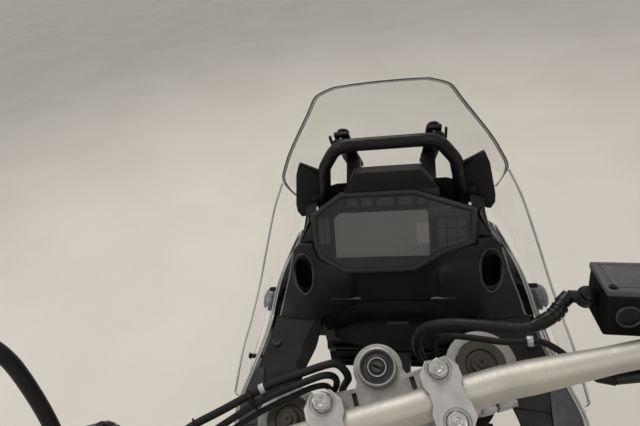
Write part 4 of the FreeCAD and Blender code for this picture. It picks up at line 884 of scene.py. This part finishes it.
class COCKPIT_OT_cowl(bpy.types.Operator):
    """Builds the instrument cowl with its ear holes, rims and slots, dark ducts behind the ear holes as painted shade,
    and light strips in the slots and beads on its outer edges as painted highlights
    """
    bl_idname = "cockpit.cowl"
    bl_label = "Instrument Cowl"

    def execute(self, context):
        wall = sizes().panel_thickness / MM
        rows = [[(-x, y, height) for x, y in half[:0:-1]] + [(x, y, height) for x, y in half]
                for height, half in cowl_heights]
        grid = smooth_grid(rows, 8, 9)

        def depth_at(x, z):
            """How far forward the cowl's rear face is at a place."""
            points = [point for row in grid for point in row]
            return min(points, key=lambda point: (point.x - x) ** 2 + (point.z - z) ** 2).y

        cutters = [prism(inset(display_outline, -0.1), -60, 50, DISPLAY)]
        through = []
        rims, edges, ducts = [], [], []
        for side in (-1, 1):
            centre = (ear_x * side, ear_z)
            through.append(oval(ear_half, ear_rise, 40, centre))
            through.append([(119 * side, 173.5), (145 * side, 147), (145 * side, 173.5)])
            loop = [(x, depth_at(x, z), z) for x, z in oval(13.2, 24.2, 48, centre)]
            rims.append(rod(loop, 1.9, cyclic=True, steps=4))
            outer = [row[0] if side < 0 else row[-1] for row in grid if row[0].z < 158]
            edges.append(rod([point + Vector((0, 1.2, 0)) for point in outer], 1.5, steps=4))
            front = depth_at(*centre) + wall
            outside = [[Vector(((ear_x - lean) * side + x * size, front + level, ear_z + z * size))
                        for x, z in oval(ear_half, ear_rise, 32)]
                       for level, size, lean in ((0.2, 1.12, 0), (9, 1.1, 1), (18, 0.95, 2), (24, 0.7, 3))]
            inside = [[point * 0.97 + Vector((3.5 * side, 6.4, 4)) for point in ring] for ring in outside[:-1]]
            ducts.append(skinned(outside[::-1] + inside, ends=True))
        for line in slot_lines:
            through.append([(x, z - 1.8) for x, _, z in line] + [(x, z + 1.8) for x, _, z in line[::-1]])
        ahead, behind = -290, -190
        cutters += [prism(outline, ahead, behind, FORWARD) for outline in through]
        fixed("instrument_cowl", "grained_charcoal", "dark_panel", skin(rows, (8, 9), (0, wall, 0)), cut=cutters,
              soft=(1.0,))
        # Light strips in the slots: painted highlights where the slots' ledges catch the light.
        slot_highlights = [rod([(x, y + 1.6, z) for x, y, z in line], 1.7, smooth=True, steps=4) for line in slot_lines]
        fixed("slot_ledges", "pale_edge_strip", "dark_panel", *slot_highlights)
        fixed("ear_rims", "satin_moulding", "dark_panel", *rims)
        # Light beads along the cowl's outer edges: painted highlights.
        fixed("ear_edges", "pale_edge_strip", "dark_panel", *edges)
        # Ducts in the darker black behind the ear holes: painted shade inside the holes.
        fixed("ear_ducts", "deep_black_moulding", "dark_panel", *ducts, angle=50)
        return {"FINISHED"}


class COCKPIT_OT_display(bpy.types.Operator):
    """Builds the display: bezel, back, reading panel, cells, brow, window and screws"""
    bl_idname = "cockpit.display"
    bl_label = "Display"

    def execute(self, context):
        low, flush = -2.9, -2.45

        def flat(outline, bottom, top):
            return prism(outline, bottom, top, DISPLAY)

        def line(outline, out, inward):
            return frame_ring(inset(outline, out), inset(outline, inward), low, flush, DISPLAY)

        bezel = frame_ring(display_outline, inset(display_outline, 7), -11, 0, DISPLAY)
        fixed("display_bezel", "smooth_bezel", "dark_panel", bezel, soft=(2.0, 20, 4), stands_for=("display_housing",))
        fixed("display_back", "grained_charcoal", "dark_panel", flat(display_outline, -12, -3.4),
              flat(inset(display_outline, 8), -24, -11.5), soft=(1.2, 20))
        fixed("display_floor", "display_black", "display_pane", flat(inset(display_outline, 6.5), -3.5, low))
        panel = [(-74, -31), (46, -31), (46, 24), (42, 28), (-66, 28), (-74, 20)]
        fixed("display_reading", "reading_panel", "display_pane", flat(panel, low, -2.55), soft=(0.15, 30, 1))
        fixed("display_border", "display_black", "display_pane", line(panel, -1.6, 0.6))
        cells = []
        for column in range(3):
            for row in range(3):
                left, base = 56 + column * 12, -20 + row * 12
                cells.append(oblong(left, base, left + 10.6, base + 10.6))
        for left, reach, lean in ((-58, 17, 3), (-38, 16, 3), (-18, 23, 2), (8, 20, 4), (32, 12, 4)):
            cells.append([(left, 35), (left + reach, 35), (left + reach - lean, 45), (left + lean, 45)])
        cells += [oblong(left, -12, left + 6, 22) for left in (-94, -86)]
        fixed("display_cells", "display_cells", "display_pane", *(flat(cell, low, -2.6) for cell in cells))
        shell = [(46, -24), (60, -27), (90, -20), (97, -12), (97, 22), (80, 32), (46, 26)]
        fixed("display_frame_line", "satin_moulding", "display_pane",
              frame_ring(shell, inset(shell, 1.8), low, flush, DISPLAY))
        fixed("display_patch", "display_patch", "display_pane", flat(oblong(31, -15, 45.6, 11), -2.6, -2.35))
        brow = [(30, 54.2), (60, 43.4), (60, 54.2)]
        fixed("display_brow", "satin_black_plastic", "gloss_black", flat(brow, -22, -1.2), soft=(0.8,))
        fixed("display_window", "display_window", "display_pane", flat(inset(display_outline, 7.2), -2.2, -0.8),
              soft=(0.4, 30, 2), stands_for=("display_glass",))
        spots = [((x, y, -0.3),) for x, y in ((-70, -34), (64, -30), (58, 30), (-76, 26))]
        fasteners("display_screws", "fairing", DISPLAY @ shift(0, 0, -24) @ turned(180, "X"), spots,
                  3.2, 2.0, 20, 4.2, 1.5)
        return {"FINISHED"}


class COCKPIT_OT_screens(bpy.types.Operator):
    """Builds the windscreen, its knobs and tabs and the two side screens, with light rods along their rims as painted
    highlights and a dark rod inside the windscreen's rim as painted reflection
    """
    bl_idname = "cockpit.screens"
    bl_label = "Screens"

    def execute(self, context):
        wall = sizes().screen_thickness / MM
        near, far = [], []
        for place in curve_through([(half, 0, height) for height, half in screen_edge], 4):
            height, half = place.z, place.x
            middle = screen_depth + (screen_level - height) * math.tan(math.radians(screen_rake)) - screen_bend
            for rows, bend in ((near, screen_bend), (far, screen_bend + wall)):
                row = [half * (k / 20 - 1) for k in range(41)]
                rows.append([Vector((x, middle + math.sqrt(bend ** 2 - x * x), height)) for x in row])
        holes = [lathe([(0, -15), (4.1, -15), (4.1, 15), (0, 15)], SCREEN @ shift(x, 0, 0), 24)
                 for x in (-knob_x, knob_x)]
        fixed("windscreen", "clear_polycarbonate", "clear_screen", sheet(near, far), cut=holes, soft=(None, 40))
        middle = [[(a + b) * 0.5 for a, b in zip(*pair)] for pair in zip(near, far)]
        rim = [row[0] for row in middle[::-1]] + middle[0][1:-1] + [row[-1] for row in middle]
        # A light rod round the windscreen's rim: painted highlight.
        fixed("windscreen_edge", "polished_screen_edge", "clear_screen", rod(rim, 1.6, steps=4))
        # A dark thin rod just inside the windscreen's rim: painted dark reflection.
        inner = [point + Vector((math.copysign(min(1.5, abs(point.x) * 0.04), point.x), -1.4, 0.9)) for point in rim]
        fixed("windscreen_line", "dark_screen_line", "clear_screen", rod(inner, 0.7, steps=3))
        both_skins("side_screen", "clear_polycarbonate", "clear_screen", with_middles(side_screen_rows), (4, 8),
                   (wall, 0, 0), soft=(0.8, 40))
        outer = curve_through([Vector(outer) + Vector((wall / 2, 0, 0)) for outer, _ in side_screen_rows], 6)
        # A light rod along each side screen's outer edge: painted highlight.
        both_sides("side_screen_edge", "polished_screen_edge", "clear_screen",
                   lambda where: [rod(outer, 1.5, where, steps=4)])
        knobs, tabs = [], []
        lobes, lobe_depth, flat_radius = 6, 0.07, 9 * MM
        for side in (-1, 1):
            spot = SCREEN @ shift(knob_x * side, 0, 8)
            knob = lathe([(0, 0.05), (12.4, 0.05), (13, 1.5), (13, 8), (11.6, 11), (7, 12.8), (0, 13)], steps=48)
            for vert in knob.verts:
                if vert.co.xy.length > flat_radius:
                    wave = math.cos(math.atan2(vert.co.y, vert.co.x) * lobes)
                    vert.co.xy *= 1 - lobe_depth * (1 + wave) * 0.5
            knobs.append(placed(knob, spot))
            knobs.append(lathe([(0, -10), (8, -10), (8, -7.2), (7, -6.8), (4, -6.8), (4, 0.05), (0, 0.05)],
                               SCREEN @ shift(knob_x * side, 0, 0), 32))
            tabs.append(prism(oblong(71 * side - 1.6, -8, 71 * side + 1.6, 13), 4.2, 8, SCREEN))
        fixed("screen_knobs", "black_anodised", "black_alloy", *knobs)
        fixed("screen_tabs", "satin_black_plastic", "gloss_black", *tabs, soft=(0.8,))
        return {"FINISHED"}


class COCKPIT_OT_fairing(bpy.types.Operator):
    """Builds the side cowls with their trims and their silver edge strips, lightened as painted highlights, the nose
    and the softened small panels
    """
    bl_idname = "cockpit.fairing"
    bl_label = "Fairing Panels"

    def execute(self, context):
        wall = sizes().panel_thickness / MM
        rows = [[(x, y, z) for x, z in line] for y, *line in side_cowl_rows]
        both_skins("side_cowl", "side_grey_paint", "side_paint", rows, (8, 8), (-wall, 0, 0), soft=())
        both_sides("screen_posts", "soft_black_rubber", "rubber", lambda where: [
            lathe([(0, 0), (3, 0), (3, 15), (2.4, 17), (0, 17)], where @ shift(*place) @ turned(90, "Y"), 24)
            for place in ((183, 177, 36), (160, 246, 95))], soft=(0.5,))
        tops = [(208.5, 101, -9)] + [(top[0], y, top[1]) for y, top, *_ in side_cowl_rows[:6]]
        # Thin rods along each side cowl's top edge: silver edge strips, made lighter as painted highlights.
        highlight_strips = [(curve_through([Vector((x + outward, y, z - drop)) for x, y, z in tops], 8), radius)
                  for outward, drop, radius in ((-1.4, -0.6, 1.7), (3.0, 2.2, 1.5))]
        both_sides("side_strip", "silver_strip", "side_paint", lambda where: [
            rod(line, radius, where, steps=5) for line, radius in highlight_strips])
        rows = with_middles([[(x, y, z) for x, y in line] for z, *line in side_trim_rows])
        both_skins("side_trim", "gloss_black_plastic", "gloss_black", rows, (3, 6), (-2, 2.4, 0),
                   soft=(0.7,))
        rows = []
        for y, half, edge, crown in nose_rows:
            shoulder = edge + (crown - edge) * 0.72
            rows.append([(-half, y, edge), (-half * 0.55, y, shoulder), (0, y, crown), (half * 0.55, y, shoulder),
                         (half, y, edge)])
        fixed("nose_cowl", "gloss_black_plastic", "gloss_black", skin(rows, (8, 10), (0, 0, -wall)), soft=(None, 50))
        rounded("fairing", "satin_black_plastic", "gloss_black", 1.6, "display_hood")
        rounded("fairing", "satin_black_plastic", "gloss_black", 1.2, "deflectors")
        rounded("fairing", "satin_black_plastic", "dark_panel", 1.0, "inner_panel_right", "inner_panel_left")
        # The lower shroud and loom tray lie in shade: the darker black paints it.
        rounded("fairing", "deep_black_moulding", "dark_panel", 1.0, "lower_shroud", "loom_tray")
        rounded("fairing", "black_powder_coat", "hoop_black", 1.3, "screen_arms")
        rounded("fairing", "satin_frame_paint", "frame_black", 1.2, "fairing_stay")
        rounded("fairing", "satin_frame_paint", "frame_black", 1.4, "frame_head")
        self.inner_pieces()
        spots = [((200 * side, 177, 36), (side, 0, 0)) for side in (-1, 1)]
        fasteners("screen_screws", "fairing", HERE, spots, 3.0, 1.2, 20, 4.2, 1.6)
        spots = [((side * 9, 241.8, z), (0, 1, 0)) for side in (-1, 1) for z in (26, 42)]
        fasteners("stay_bolts", "fairing", HERE, spots, 3.4, 2.6, 6, 5.2, 1.4)
        return {"FINISHED"}

    def inner_pieces(self):
        """The ribbed guard under the stay's beam, the inner panels' edges and the pieces round the hood."""
        guard = []
        rib, pitch = 4, 11
        for where, low, high, foot, head in ((shift(0, 242.2, -20) @ FORWARD, 0, 70, 110, 102),
                                             (shift(0, 242.2, -20) @ turned(125, "X"), -42, 0.4, 114, 110),
                                             (shift(0, 264, -54) @ FORWARD, -30, 2, 114, 114)):
            guard.append(prism([(-foot, low), (foot, low), (head, high), (-head, high)], -3.8, 0, where))
            for step in range(int((high - low) / pitch)):
                base = low + rib + step * pitch
                guard.append(prism(oblong(-100, base, 100, base + rib), -0.2, 3, where))
        fixed("stay_guard", "deep_black_moulding", "dark_panel", *guard, soft=(0.8,))
        rows = [((99, 208, 77.4), (110, 208, 77.4)), ((104, 178, 59.4), (126, 178, 59.4)),
                ((117.5, 147, 45.4), (130, 147, 45.4)), ((128, 120, 21.4), (134, 120, 21.4))]
        both_skins("panel_lip", "deep_black_moulding", "dark_panel", with_middles(rows), (2, 6), (0, 0, -2.4),
                   soft=(0.7,))
        rows = [((130, 121, 20.6), (203, 121, 9)), ((135, 110, 13), (205.5, 110, 0)), ((138, 101, 6), (208, 101, -10))]
        both_skins("panel_tail", "satin_black_plastic", "dark_panel", with_middles(rows), (3, 4), (0, 0, -3),
                   soft=(0.8,))
        rows = [((172, 150, 45.5), (184, 150, 44.5)), ((172, 121, 18), (203.5, 121, 12)),
                ((172, 101, 2.4), (208, 101, -8.4))]
        both_skins("panel_flank", "satin_moulding", "dark_panel", with_middles(rows), (3, 5), (0, 0, -2), soft=(0.6,))
        plan = [(88, 240), (95, 212), (108, 196), (119, 182), (125, 181), (130, 190), (130, 201), (122, 246),
                (115.4, 262.6)]
        both_sides("deflector_shield", "satin_black_plastic", "gloss_black", lambda where: [
            prism(plan, -300.2, -297.4, where @ FORWARD)], soft=(1.1,))
        plan = [(-100, 192), (100, 192), (100, 213), (91, 223), (70, 230), (-70, 230), (-91, 223), (-100, 213)]
        fixed("hood_back", "deep_black_moulding", "gloss_black", prism(plan, -299, -296, FORWARD), soft=())
        rows = [((102, 252, 172), (110, 251, 172), (121, 250.2, 172)),
                ((101, 262, 184), (108, 260, 184), (116, 266, 184)),
                ((99, 272, 196), (104, 276, 196), (116, 290, 194)),
                ((97, 284, 210), (104, 290, 207), (119, 298, 197))]
        both_skins("trim_corner", "satin_black_plastic", "gloss_black", rows, (3, 4), (0, 2.4, 0), soft=(0.6,))
        profile = [(0, 0), (6.4, 0), (6.4, 2), (5.6, 3), (3.4, 3), (3, 1.4), (0, 1.4)]
        both_sides("panel_boss", "grained_charcoal", "dark_panel", lambda where: [
            lathe(profile, where @ shift(158, 178, 60.4), 32)], angle=30)


class COCKPIT_OT_lamps(bpy.types.Operator):
    """Builds the headlight's bowls and lens and the turn signals"""
    bl_idname = "cockpit.lamps"
    bl_label = "Lamps"

    def execute(self, context):
        opening = [(-60, -2), (60, -2), (81, 40), (60, 88), (-60, 88), (-81, 40)]
        housing = carved(copy_of("headlight_housing"), prism(opening, -341, -308, FORWARD))
        dressed(softened(housing, 1.4), "gloss_black_plastic", "fairing", "headlight_housing")
        bowl = [(0, 2), (6, 2.4), (14, 6), (22, 13), (28, 22), (31, 30), (33, 30), (33, 0.5), (0, 0.5)]
        bulb = [(0, 2), (5, 2), (5, 9), (3.4, 12), (0, 13)]
        bowls = [lathe(profile, shift(x, 309, 43) @ turned(-90, "X"), steps)
                 for x in (-37, 37) for profile, steps in ((bowl, 48), (bulb, 24))]
        fixed("lamp_bowls", "lamp_bowl", "lamp_clear", *bowls)
        lens = softened(copy_of("headlight_lens"), 3.0, BEVEL_ANGLE, 4)
        dressed(lens, "lamp_cover", "fairing", "headlight_lens")
        profile = [(0, 0), (9.5, 0), (8, 6), (7, 12), (8.4, 17), (8.4, 20), (0, 20)]
        both_sides("signal_stalk", "soft_black_rubber", "rubber", lambda where: [
            lathe(profile, where @ shift(158, 258, 62) @ turned(90, "Y"), 28)])

        def lamp(where):
            mesh = bmesh.new()
            bmesh.ops.create_uvsphere(mesh, u_segments=40, v_segments=24, radius=1)
            for vert in mesh.verts:
                taper = 1 - 0.2 * max(0, vert.co.z) + 0.1 * min(0, vert.co.z)
                across = math.copysign(abs(vert.co.x) ** 0.8, vert.co.x)
                vert.co = at(183 + across * 13 * taper, 258 + vert.co.y * 20 * taper, 65 + vert.co.z * 16)
            return [placed(mesh, where)]

        both_sides("turn_signal", "signal_lens", "signal_smoke", lamp)
        return {"FINISHED"}


class COCKPIT_OT_yokes(bpy.types.Operator):
    """Softens the yokes and cable blocks and builds the fork caps and the ignition lock"""
    bl_idname = "cockpit.yokes"
    bl_label = "Yokes and Lock"

    def execute(self, context):
        rounded("steering", "satin_yoke", "silver_alloy", 1.1, "top_yoke")
        rounded("steering", "black_anodised", "black_alloy", 1.4, "bottom_yoke")
        rounded("steering", "satin_black_plastic", "black_alloy", 1.6, "cable_blocks")
        cap = [(0, -15), (22.9, -15), (22.9, 1), (24.5, 1), (24.5, 2.6), (23.1, 4), (15.4, 4), (14, 2.6), (9.6, 2.2),
               (9.6, 8), (8.6, 9), (5, 9), (5, 11.4), (4.4, 12), (1.6, 12), (1.4, 9.6), (0, 9.6)]
        rim = [(24.6, -2), (25.05, -2), (25.3, 1), (25.0, 2.5), (24.55, 2.9)]
        forks = [STEER @ shift(x, 24.7, yoke_top) for x in (100, -100)]
        steered("fork_caps", "smoky_anodised", "black_alloy", *(lathe(cap, fork, 48) for fork in forks), angle=28)
        steered("fork_rims", "bright_lock_metal", "lock_metal", *(lathe(rim, fork, 48, loop=True) for fork in forks),
                angle=28)
        floors = [prism(oblong(x, 18, x + 5, 33), yoke_top - 14, yoke_top - 10, STEER) for x in (-33, 28)]
        steered("slot_floors", "smoky_anodised", "silver_alloy", *floors)
        lock = STEER @ shift(0, 50, yoke_top)
        slanted = lock @ turned(-38, "Z")
        barrel = [(0, -44), (12.5, -44), (12.5, -30), (17.5, -30), (17.5, 2.2), (0, 2.2)]
        rim = [(17.6, 0.05), (19.2, 0.05), (20, 1), (20, 7.2), (19.3, 8.6), (18.4, 9), (17.5, 8.2), (16.9, 6.4),
               (16.9, 2.2)]
        ring = [(8.2, 3), (10.3, 3), (10.3, 6.8), (9.8, 7.6), (8.8, 7.6), (8.2, 6.6)]
        heart = [(0, 3), (6, 3), (6, 6.2), (5.3, 6.9), (0, 6.9)]
        well = [(0, 2.25), (16.85, 2.25), (16.85, 3.6), (15.6, 3.8), (11.2, 6.2), (10.5, 3.4), (0, 3.4)]
        steered("lock_barrel", "satin_black_plastic", "lock_metal", lathe(barrel, lock, 48), angle=28,
                stands_for=("ignition_lock",))
        steered("lock_rim", "satin_cast_silver", "lock_metal", lathe(rim, lock, 64, loop=True), angle=28)
        steered("lock_key_ring", "plated_bolts", "lock_metal", lathe(ring, lock, 48, loop=True), angle=28)
        steered("heart", "smoky_anodised", "lock_metal", lathe(heart, lock, 32),
                cut=[prism(oblong(-4.6, -1.3, 4.6, 1.3), 4, 9, slanted)], soft=(0.25, 30, 2))
        # A dark floor in the key slot: painted shade.
        steered("keyhole", "deep_black_moulding", "lock_metal", prism(oblong(-4.5, -1.2, 4.5, 1.2), 3.9, 4.6, slanted))
        steered("lock_well", "satin_moulding", "lock_metal", lathe(well, lock, 64), angle=28)
        return {"FINISHED"}


class COCKPIT_OT_bar(bpy.types.Operator):
    """Builds the handlebar clamps with their bolts and the grips"""
    bl_idname = "cockpit.bar"
    bl_label = "Handlebar and Clamps"

    def execute(self, context):
        rounded("steering", "satin_cast_silver", "silver_alloy", 1.2, "risers")
        bolt_spots = [CLAMP @ shift(0, place, 0) for place in (16, -28)]
        bore = [(0, -30), (14.35, -30), (14.35, 30), (0, 30)]
        cutters = [lathe(bore, CLAMP @ shift(0, -6, 180) @ turned(90, "Y"), 64)]
        cutters += [lathe([(0, 196.4), (11.4, 196.4), (11.4, 205), (0, 205)], spot, 40) for spot in bolt_spots]
        crown = softened(carved(thing("crown", prism(clamp_plan, 180.6, 198, CLAMP)), *cutters), 1.8)
        steered("clamp_caps", "satin_cast_silver", "silver_alloy", *swapped_too(taken(crown)))
        bolts = []
        for spot in bolt_spots:
            bolts.append(lathe([(0, 196.45), (9.2, 196.45), (9.2, 197.4), (8, 199.2), (0, 199.6)], spot, 40))
            head = thing("head", prism(oval(8.1, 8.1, 6, turn=0.35), 199, 204.4, spot))
            carved(head, lathe([(0, 203.5), (3.0, 203.5), (4.2, 206), (0, 206)], spot, 32))
            bolts.append(taken(softened(head, 0.7)))
        steered("clamp_bolts", "plated_bolts", "silver_alloy", *swapped_too(*bolts), angle=30)
        grip = [(11.2, 94), (19, 94), (19.4, 95), (19.4, 98), (19, 99), (16.2, 101), (16.8, 150), (16.2, 204),
                (18.3, 206.5), (18.8, 208), (18.8, 211), (18.2, 212), (11.2, 212)]
        steered("grips", "soft_black_rubber", "rubber", *swapped_too(lathe(grip, RUN, 48, loop=True)), angle=30)
        count = sizes().grip_ribs
        values = {"Count": count, "Spacing": 96 * MM / count, "Ring Radius": 16.5 * MM, "Rib Radius": 1.15 * MM,
                  "Material": finish("soft_black_rubber")}
        for side, where in (("right", RUN), ("left", SWAPPED @ RUN)):
            name = f"grip_ribs_{side}"
            ribs = run_tree(name, rib_tree, values, where=where @ shift(0, 0, 106))
            dressed(ribs, "soft_black_rubber", "steering", name)
        rounded("steering", "black_anodised", "black_alloy", 0.8, "bar_ends")
        return {"FINISHED"}


class COCKPIT_OT_controls(bpy.types.Operator):
    """Builds the brake's reservoir, the levers, the switch housings and the clutch perch"""
    bl_idname = "cockpit.controls"
    bl_label = "Controls"

    def execute(self, context):
        level = BLOCK @ shift(0, 25, 193) @ turned(-38, "X") @ shift(0, -25, -193)
        master = carved(copy_of("brake_master"), prism(oblong(-0.4, -6, 66.6, 51), 182.5, 210, BLOCK))
        dressed(softened(master, 1.0), "satin_black_plastic", "steering", "brake_master")
        steered("reservoir", "deep_black_moulding", "gloss_black", prism(oblong(0, 0, 66, 50), 171, 208.6, level),
                soft=(2.6, BEVEL_ANGLE, 4))
        lid = softened(thing("reservoir_lid", prism(oblong(-1, -1, 67, 51), 209.05, 214.9, level)), 1.8)
        pad = oblong(6, 6, 60, 44)
        carved(lid, frame_ring(inset(pad, -1.5), pad, 214.2, 216, level))
        dressed(softened(lid, 0.5, 40, 2), "crackle_lid", "steering", "reservoir_lid")
        steered("lid_gasket", "soft_black_rubber", "rubber", prism(oblong(-0.2, -0.2, 66.2, 50.2), 208.2, 209.1, level))
        spots = [((4.6, 4.6, 214.6),), ((61.4, 45.4, 214.6),)]
        fasteners("lid_screws", "steering", level, spots, 2.6, 1.0, 20, 3.4, 1.3)
        sight = level @ shift(17.5, 0, 191) @ FORWARD
        ring = [(8.2, -0.6), (10.2, -0.6), (10.2, 1.4), (9.7, 2), (8.7, 2), (8.2, 1.4)]
        glass = [(0, -0.6), (8.15, -0.6), (8.15, 0.5), (4, 0.9), (0, 1)]
        steered("sight_ring", "satin_moulding", "gloss_black", lathe(ring, sight, 48, loop=True), angle=28)
        steered("sight_glass", "gloss_black_plastic", "gloss_black", lathe(glass, sight, 40), angle=40)
        banjo = BLOCK @ shift(-8, 25, 198)
        steered("banjo_bolt", "black_anodised", "black_alloy", prism(oval(6.4, 6.4, 6), 0.02, 4.6, banjo),
                lathe([(0, 0), (8, 0), (8, 0.9), (0, 0.9)], banjo, 32), soft=(0.5, BEVEL_ANGLE, 2))
        rounded("steering", "satin_black_plastic", "black_alloy", 1.2, "clutch_perch")
        rounded("steering", "grained_charcoal", "dark_panel", 1.5, "switch_pod_right", "switch_pod_left")
        rounded("steering", "smoky_anodised", "black_alloy", 1.2, "brake_lever", "clutch_lever")
        pivots = [((264 * side, 50, 187.4),) for side in (1, -1)]
        fasteners("lever_pivots", "steering", STEER, pivots, 5.6, 3.0, 6, 7.6, 2.2)
        return {"FINISHED"}


class COCKPIT_OT_mirrors(bpy.types.Operator):
    """Builds the mirrors' shells, glasses, stems, nuts and boots"""
    bl_idname = "cockpit.mirrors"
    bl_label = "Mirrors"

    def execute(self, context):
        line = curve_through([(*corner, 0) for corner in mirror_outline], 6, loop=True)
        shell = skinned([[(point.x * scale, point.y * scale, level) for point in line] for scale, level in (
            (0.93, -2.9), (0.935, -0.6), (0.955, 0), (0.985, -0.4), (1.0, -2.4), (0.995, -8), (0.95, -15),
            (0.82, -21), (0.55, -24.8), (0.25, -26))], MIRROR, ends=True)
        steered("mirror_heads", "satin_black_plastic", "gloss_black", *swapped_too(shell), angle=50)
        glass = prism(inset(mirror_outline, 5.6), -2.85, -1.4, MIRROR)
        steered("mirror_glasses", "mirror_silver", "mirror", *swapped_too(glass), soft=(0.5, 30, 2))
        stem = rod([(286, 38, 205), (286, 38, 214), (281, 53, 234), (279, 78, 267), (277, 98, 302), (292, 112, 330),
                    (318, 124, 352), (325, 133, 369)], 6.4, STEER, smooth=True, steps=7)
        steered("mirror_stems", "satin_black_plastic", "gloss_black", *swapped_too(stem), angle=60)
        nut = prism(oval(9.4, 9.4, 6, (286, 38)), 205.1, 211, STEER)
        steered("mirror_nuts", "satin_black_plastic", "black_alloy", *swapped_too(nut), soft=(0.8,))
        boot = lathe([(0, -2), (9.5, -2), (10.5, 4), (9, 12), (7, 18), (0, 19)], toward((325, 133, 369), (-7, -9, -17)),
                     32)
        steered("mirror_boots", "soft_black_rubber", "rubber", *swapped_too(boot), angle=40)
        return {"FINISHED"}


class COCKPIT_OT_stage(bpy.types.Operator):
    """Builds the floor, the lamps, the world and the camera"""
    bl_idname = "cockpit.stage"
    bl_label = "Stage"

    def execute(self, context):
        scene = bpy.context.scene
        scene.view_settings.view_transform = "Standard"
        low = cad_box[0].z - floor_gap
        data = bpy.data.meshes.new("floor")
        data.from_pydata([(x, y, low) for x, y in oblong(-40, -40, 40, 40)], [], [(0, 1, 2, 3)])
        floor = bpy.data.objects.new("floor", data)
        scene.collection.objects.link(floor)
        data.materials.append(finish("pale_floor"))
        scene.world = self.studio()
        for name, place, energy, width in (("over_lamp", (-0.5, 1.5, 2.4), 30, 1.4),
                                           ("left_lamp", (-1.9, -0.5, 1.7), 12, 1.3),
                                           ("rear_lamp", (1.2, -1.5, 2.0), 11, 1.2)):
            lamp = bpy.data.lights.new(name, "AREA")
            lamp.energy = energy
            lamp.size = width
            holder = bpy.data.objects.new(name, lamp)
            holder.location = place
            holder.rotation_euler = (lamp_aim - Vector(place)).to_track_quat("-Z", "Y").to_euler()
            scene.collection.objects.link(holder)
        yaw, pitch, roll = (math.radians(angle) for angle in camera_angles)
        forward = Vector((math.sin(yaw) * math.cos(pitch), math.cos(yaw) * math.cos(pitch), -math.sin(pitch)))
        level = Vector((math.cos(yaw), -math.sin(yaw), 0))
        upward = level.cross(forward)
        right = math.cos(roll) * level + math.sin(roll) * upward
        top = -math.sin(roll) * level + math.cos(roll) * upward
        lens = bpy.data.cameras.new("camera")
        lens.sensor_width = 36
        lens.lens = focal_pixels / picture_width * lens.sensor_width
        lens.clip_start = 0.01
        camera = bpy.data.objects.new("camera", lens)
        camera.matrix_world = shift(*camera_place) @ Matrix((right, top, -forward)).transposed().to_4x4()
        scene.collection.objects.link(camera)
        scene.camera = camera
        return {"FINISHED"}

    @staticmethod
    def studio():
        """Soft grey light, with a pale surround wherever the camera, a gloss or a clear piece looks at it."""
        world = bpy.data.worlds.new("studio")
        world.use_nodes = True
        tree = world.node_tree
        soft = tree.nodes["Background"]
        soft.inputs["Color"].default_value = (0.84, 0.86, 0.9, 1)
        soft.inputs["Strength"].default_value = 0.5
        pale = add_node(tree, "ShaderNodeBackground", {"Color": (0.6, 0.57, 0.52, 1)})
        rays = add_node(tree, "ShaderNodeLightPath", {})
        total = rays.outputs["Is Camera Ray"]
        for name in ("Is Glossy Ray", "Is Transmission Ray"):
            most = add_node(tree, "ShaderNodeMath", {0: total, 1: rays.outputs[name]}, operation="MAXIMUM")
            total = most.outputs["Value"]
        choice = add_node(tree, "ShaderNodeMixShader", {"Fac": total, 1: soft.outputs["Background"],
                                                        2: pale.outputs["Background"]})
        tree.links.new(choice.outputs["Shader"], tree.nodes["World Output"].inputs["Surface"])
        return world


class COCKPIT_PT_panel(bpy.types.Panel):
    """Cockpit pieces and their sizes"""
    bl_idname = "COCKPIT_PT_panel"
    bl_label = "Cockpit"
    bl_space_type = "VIEW_3D"
    bl_region_type = "UI"
    bl_category = "Cockpit"

    def draw(self, context):
        layout = self.layout
        for group in (context.scene.cockpit_sizes, context.scene.cockpit_colours):
            for name in group.__annotations__:
                layout.prop(group, name)
        for maker in OPERATORS:
            layout.operator(maker.bl_idname)


OPERATORS = (COCKPIT_OT_stage, COCKPIT_OT_finishes, COCKPIT_OT_cables, COCKPIT_OT_cowl, COCKPIT_OT_display,
             COCKPIT_OT_screens, COCKPIT_OT_fairing, COCKPIT_OT_lamps, COCKPIT_OT_yokes, COCKPIT_OT_bar,
             COCKPIT_OT_controls, COCKPIT_OT_mirrors)


def register():
    for group in (CockpitSizes, CockpitColours, *OPERATORS, COCKPIT_PT_panel):
        bpy.utils.register_class(group)
    bpy.types.Scene.cockpit_sizes = bpy.props.PointerProperty(type=CockpitSizes)
    bpy.types.Scene.cockpit_colours = bpy.props.PointerProperty(type=CockpitColours)


def unregister():
    del bpy.types.Scene.cockpit_colours
    del bpy.types.Scene.cockpit_sizes
    for group in (COCKPIT_PT_panel, *reversed(OPERATORS), CockpitColours, CockpitSizes):
        bpy.utils.unregister_class(group)


def main():
    register()
    for maker in OPERATORS:
        family, call = maker.bl_idname.split(".")
        getattr(getattr(bpy.ops, family), call)()


if __name__ == "__main__":
    main()
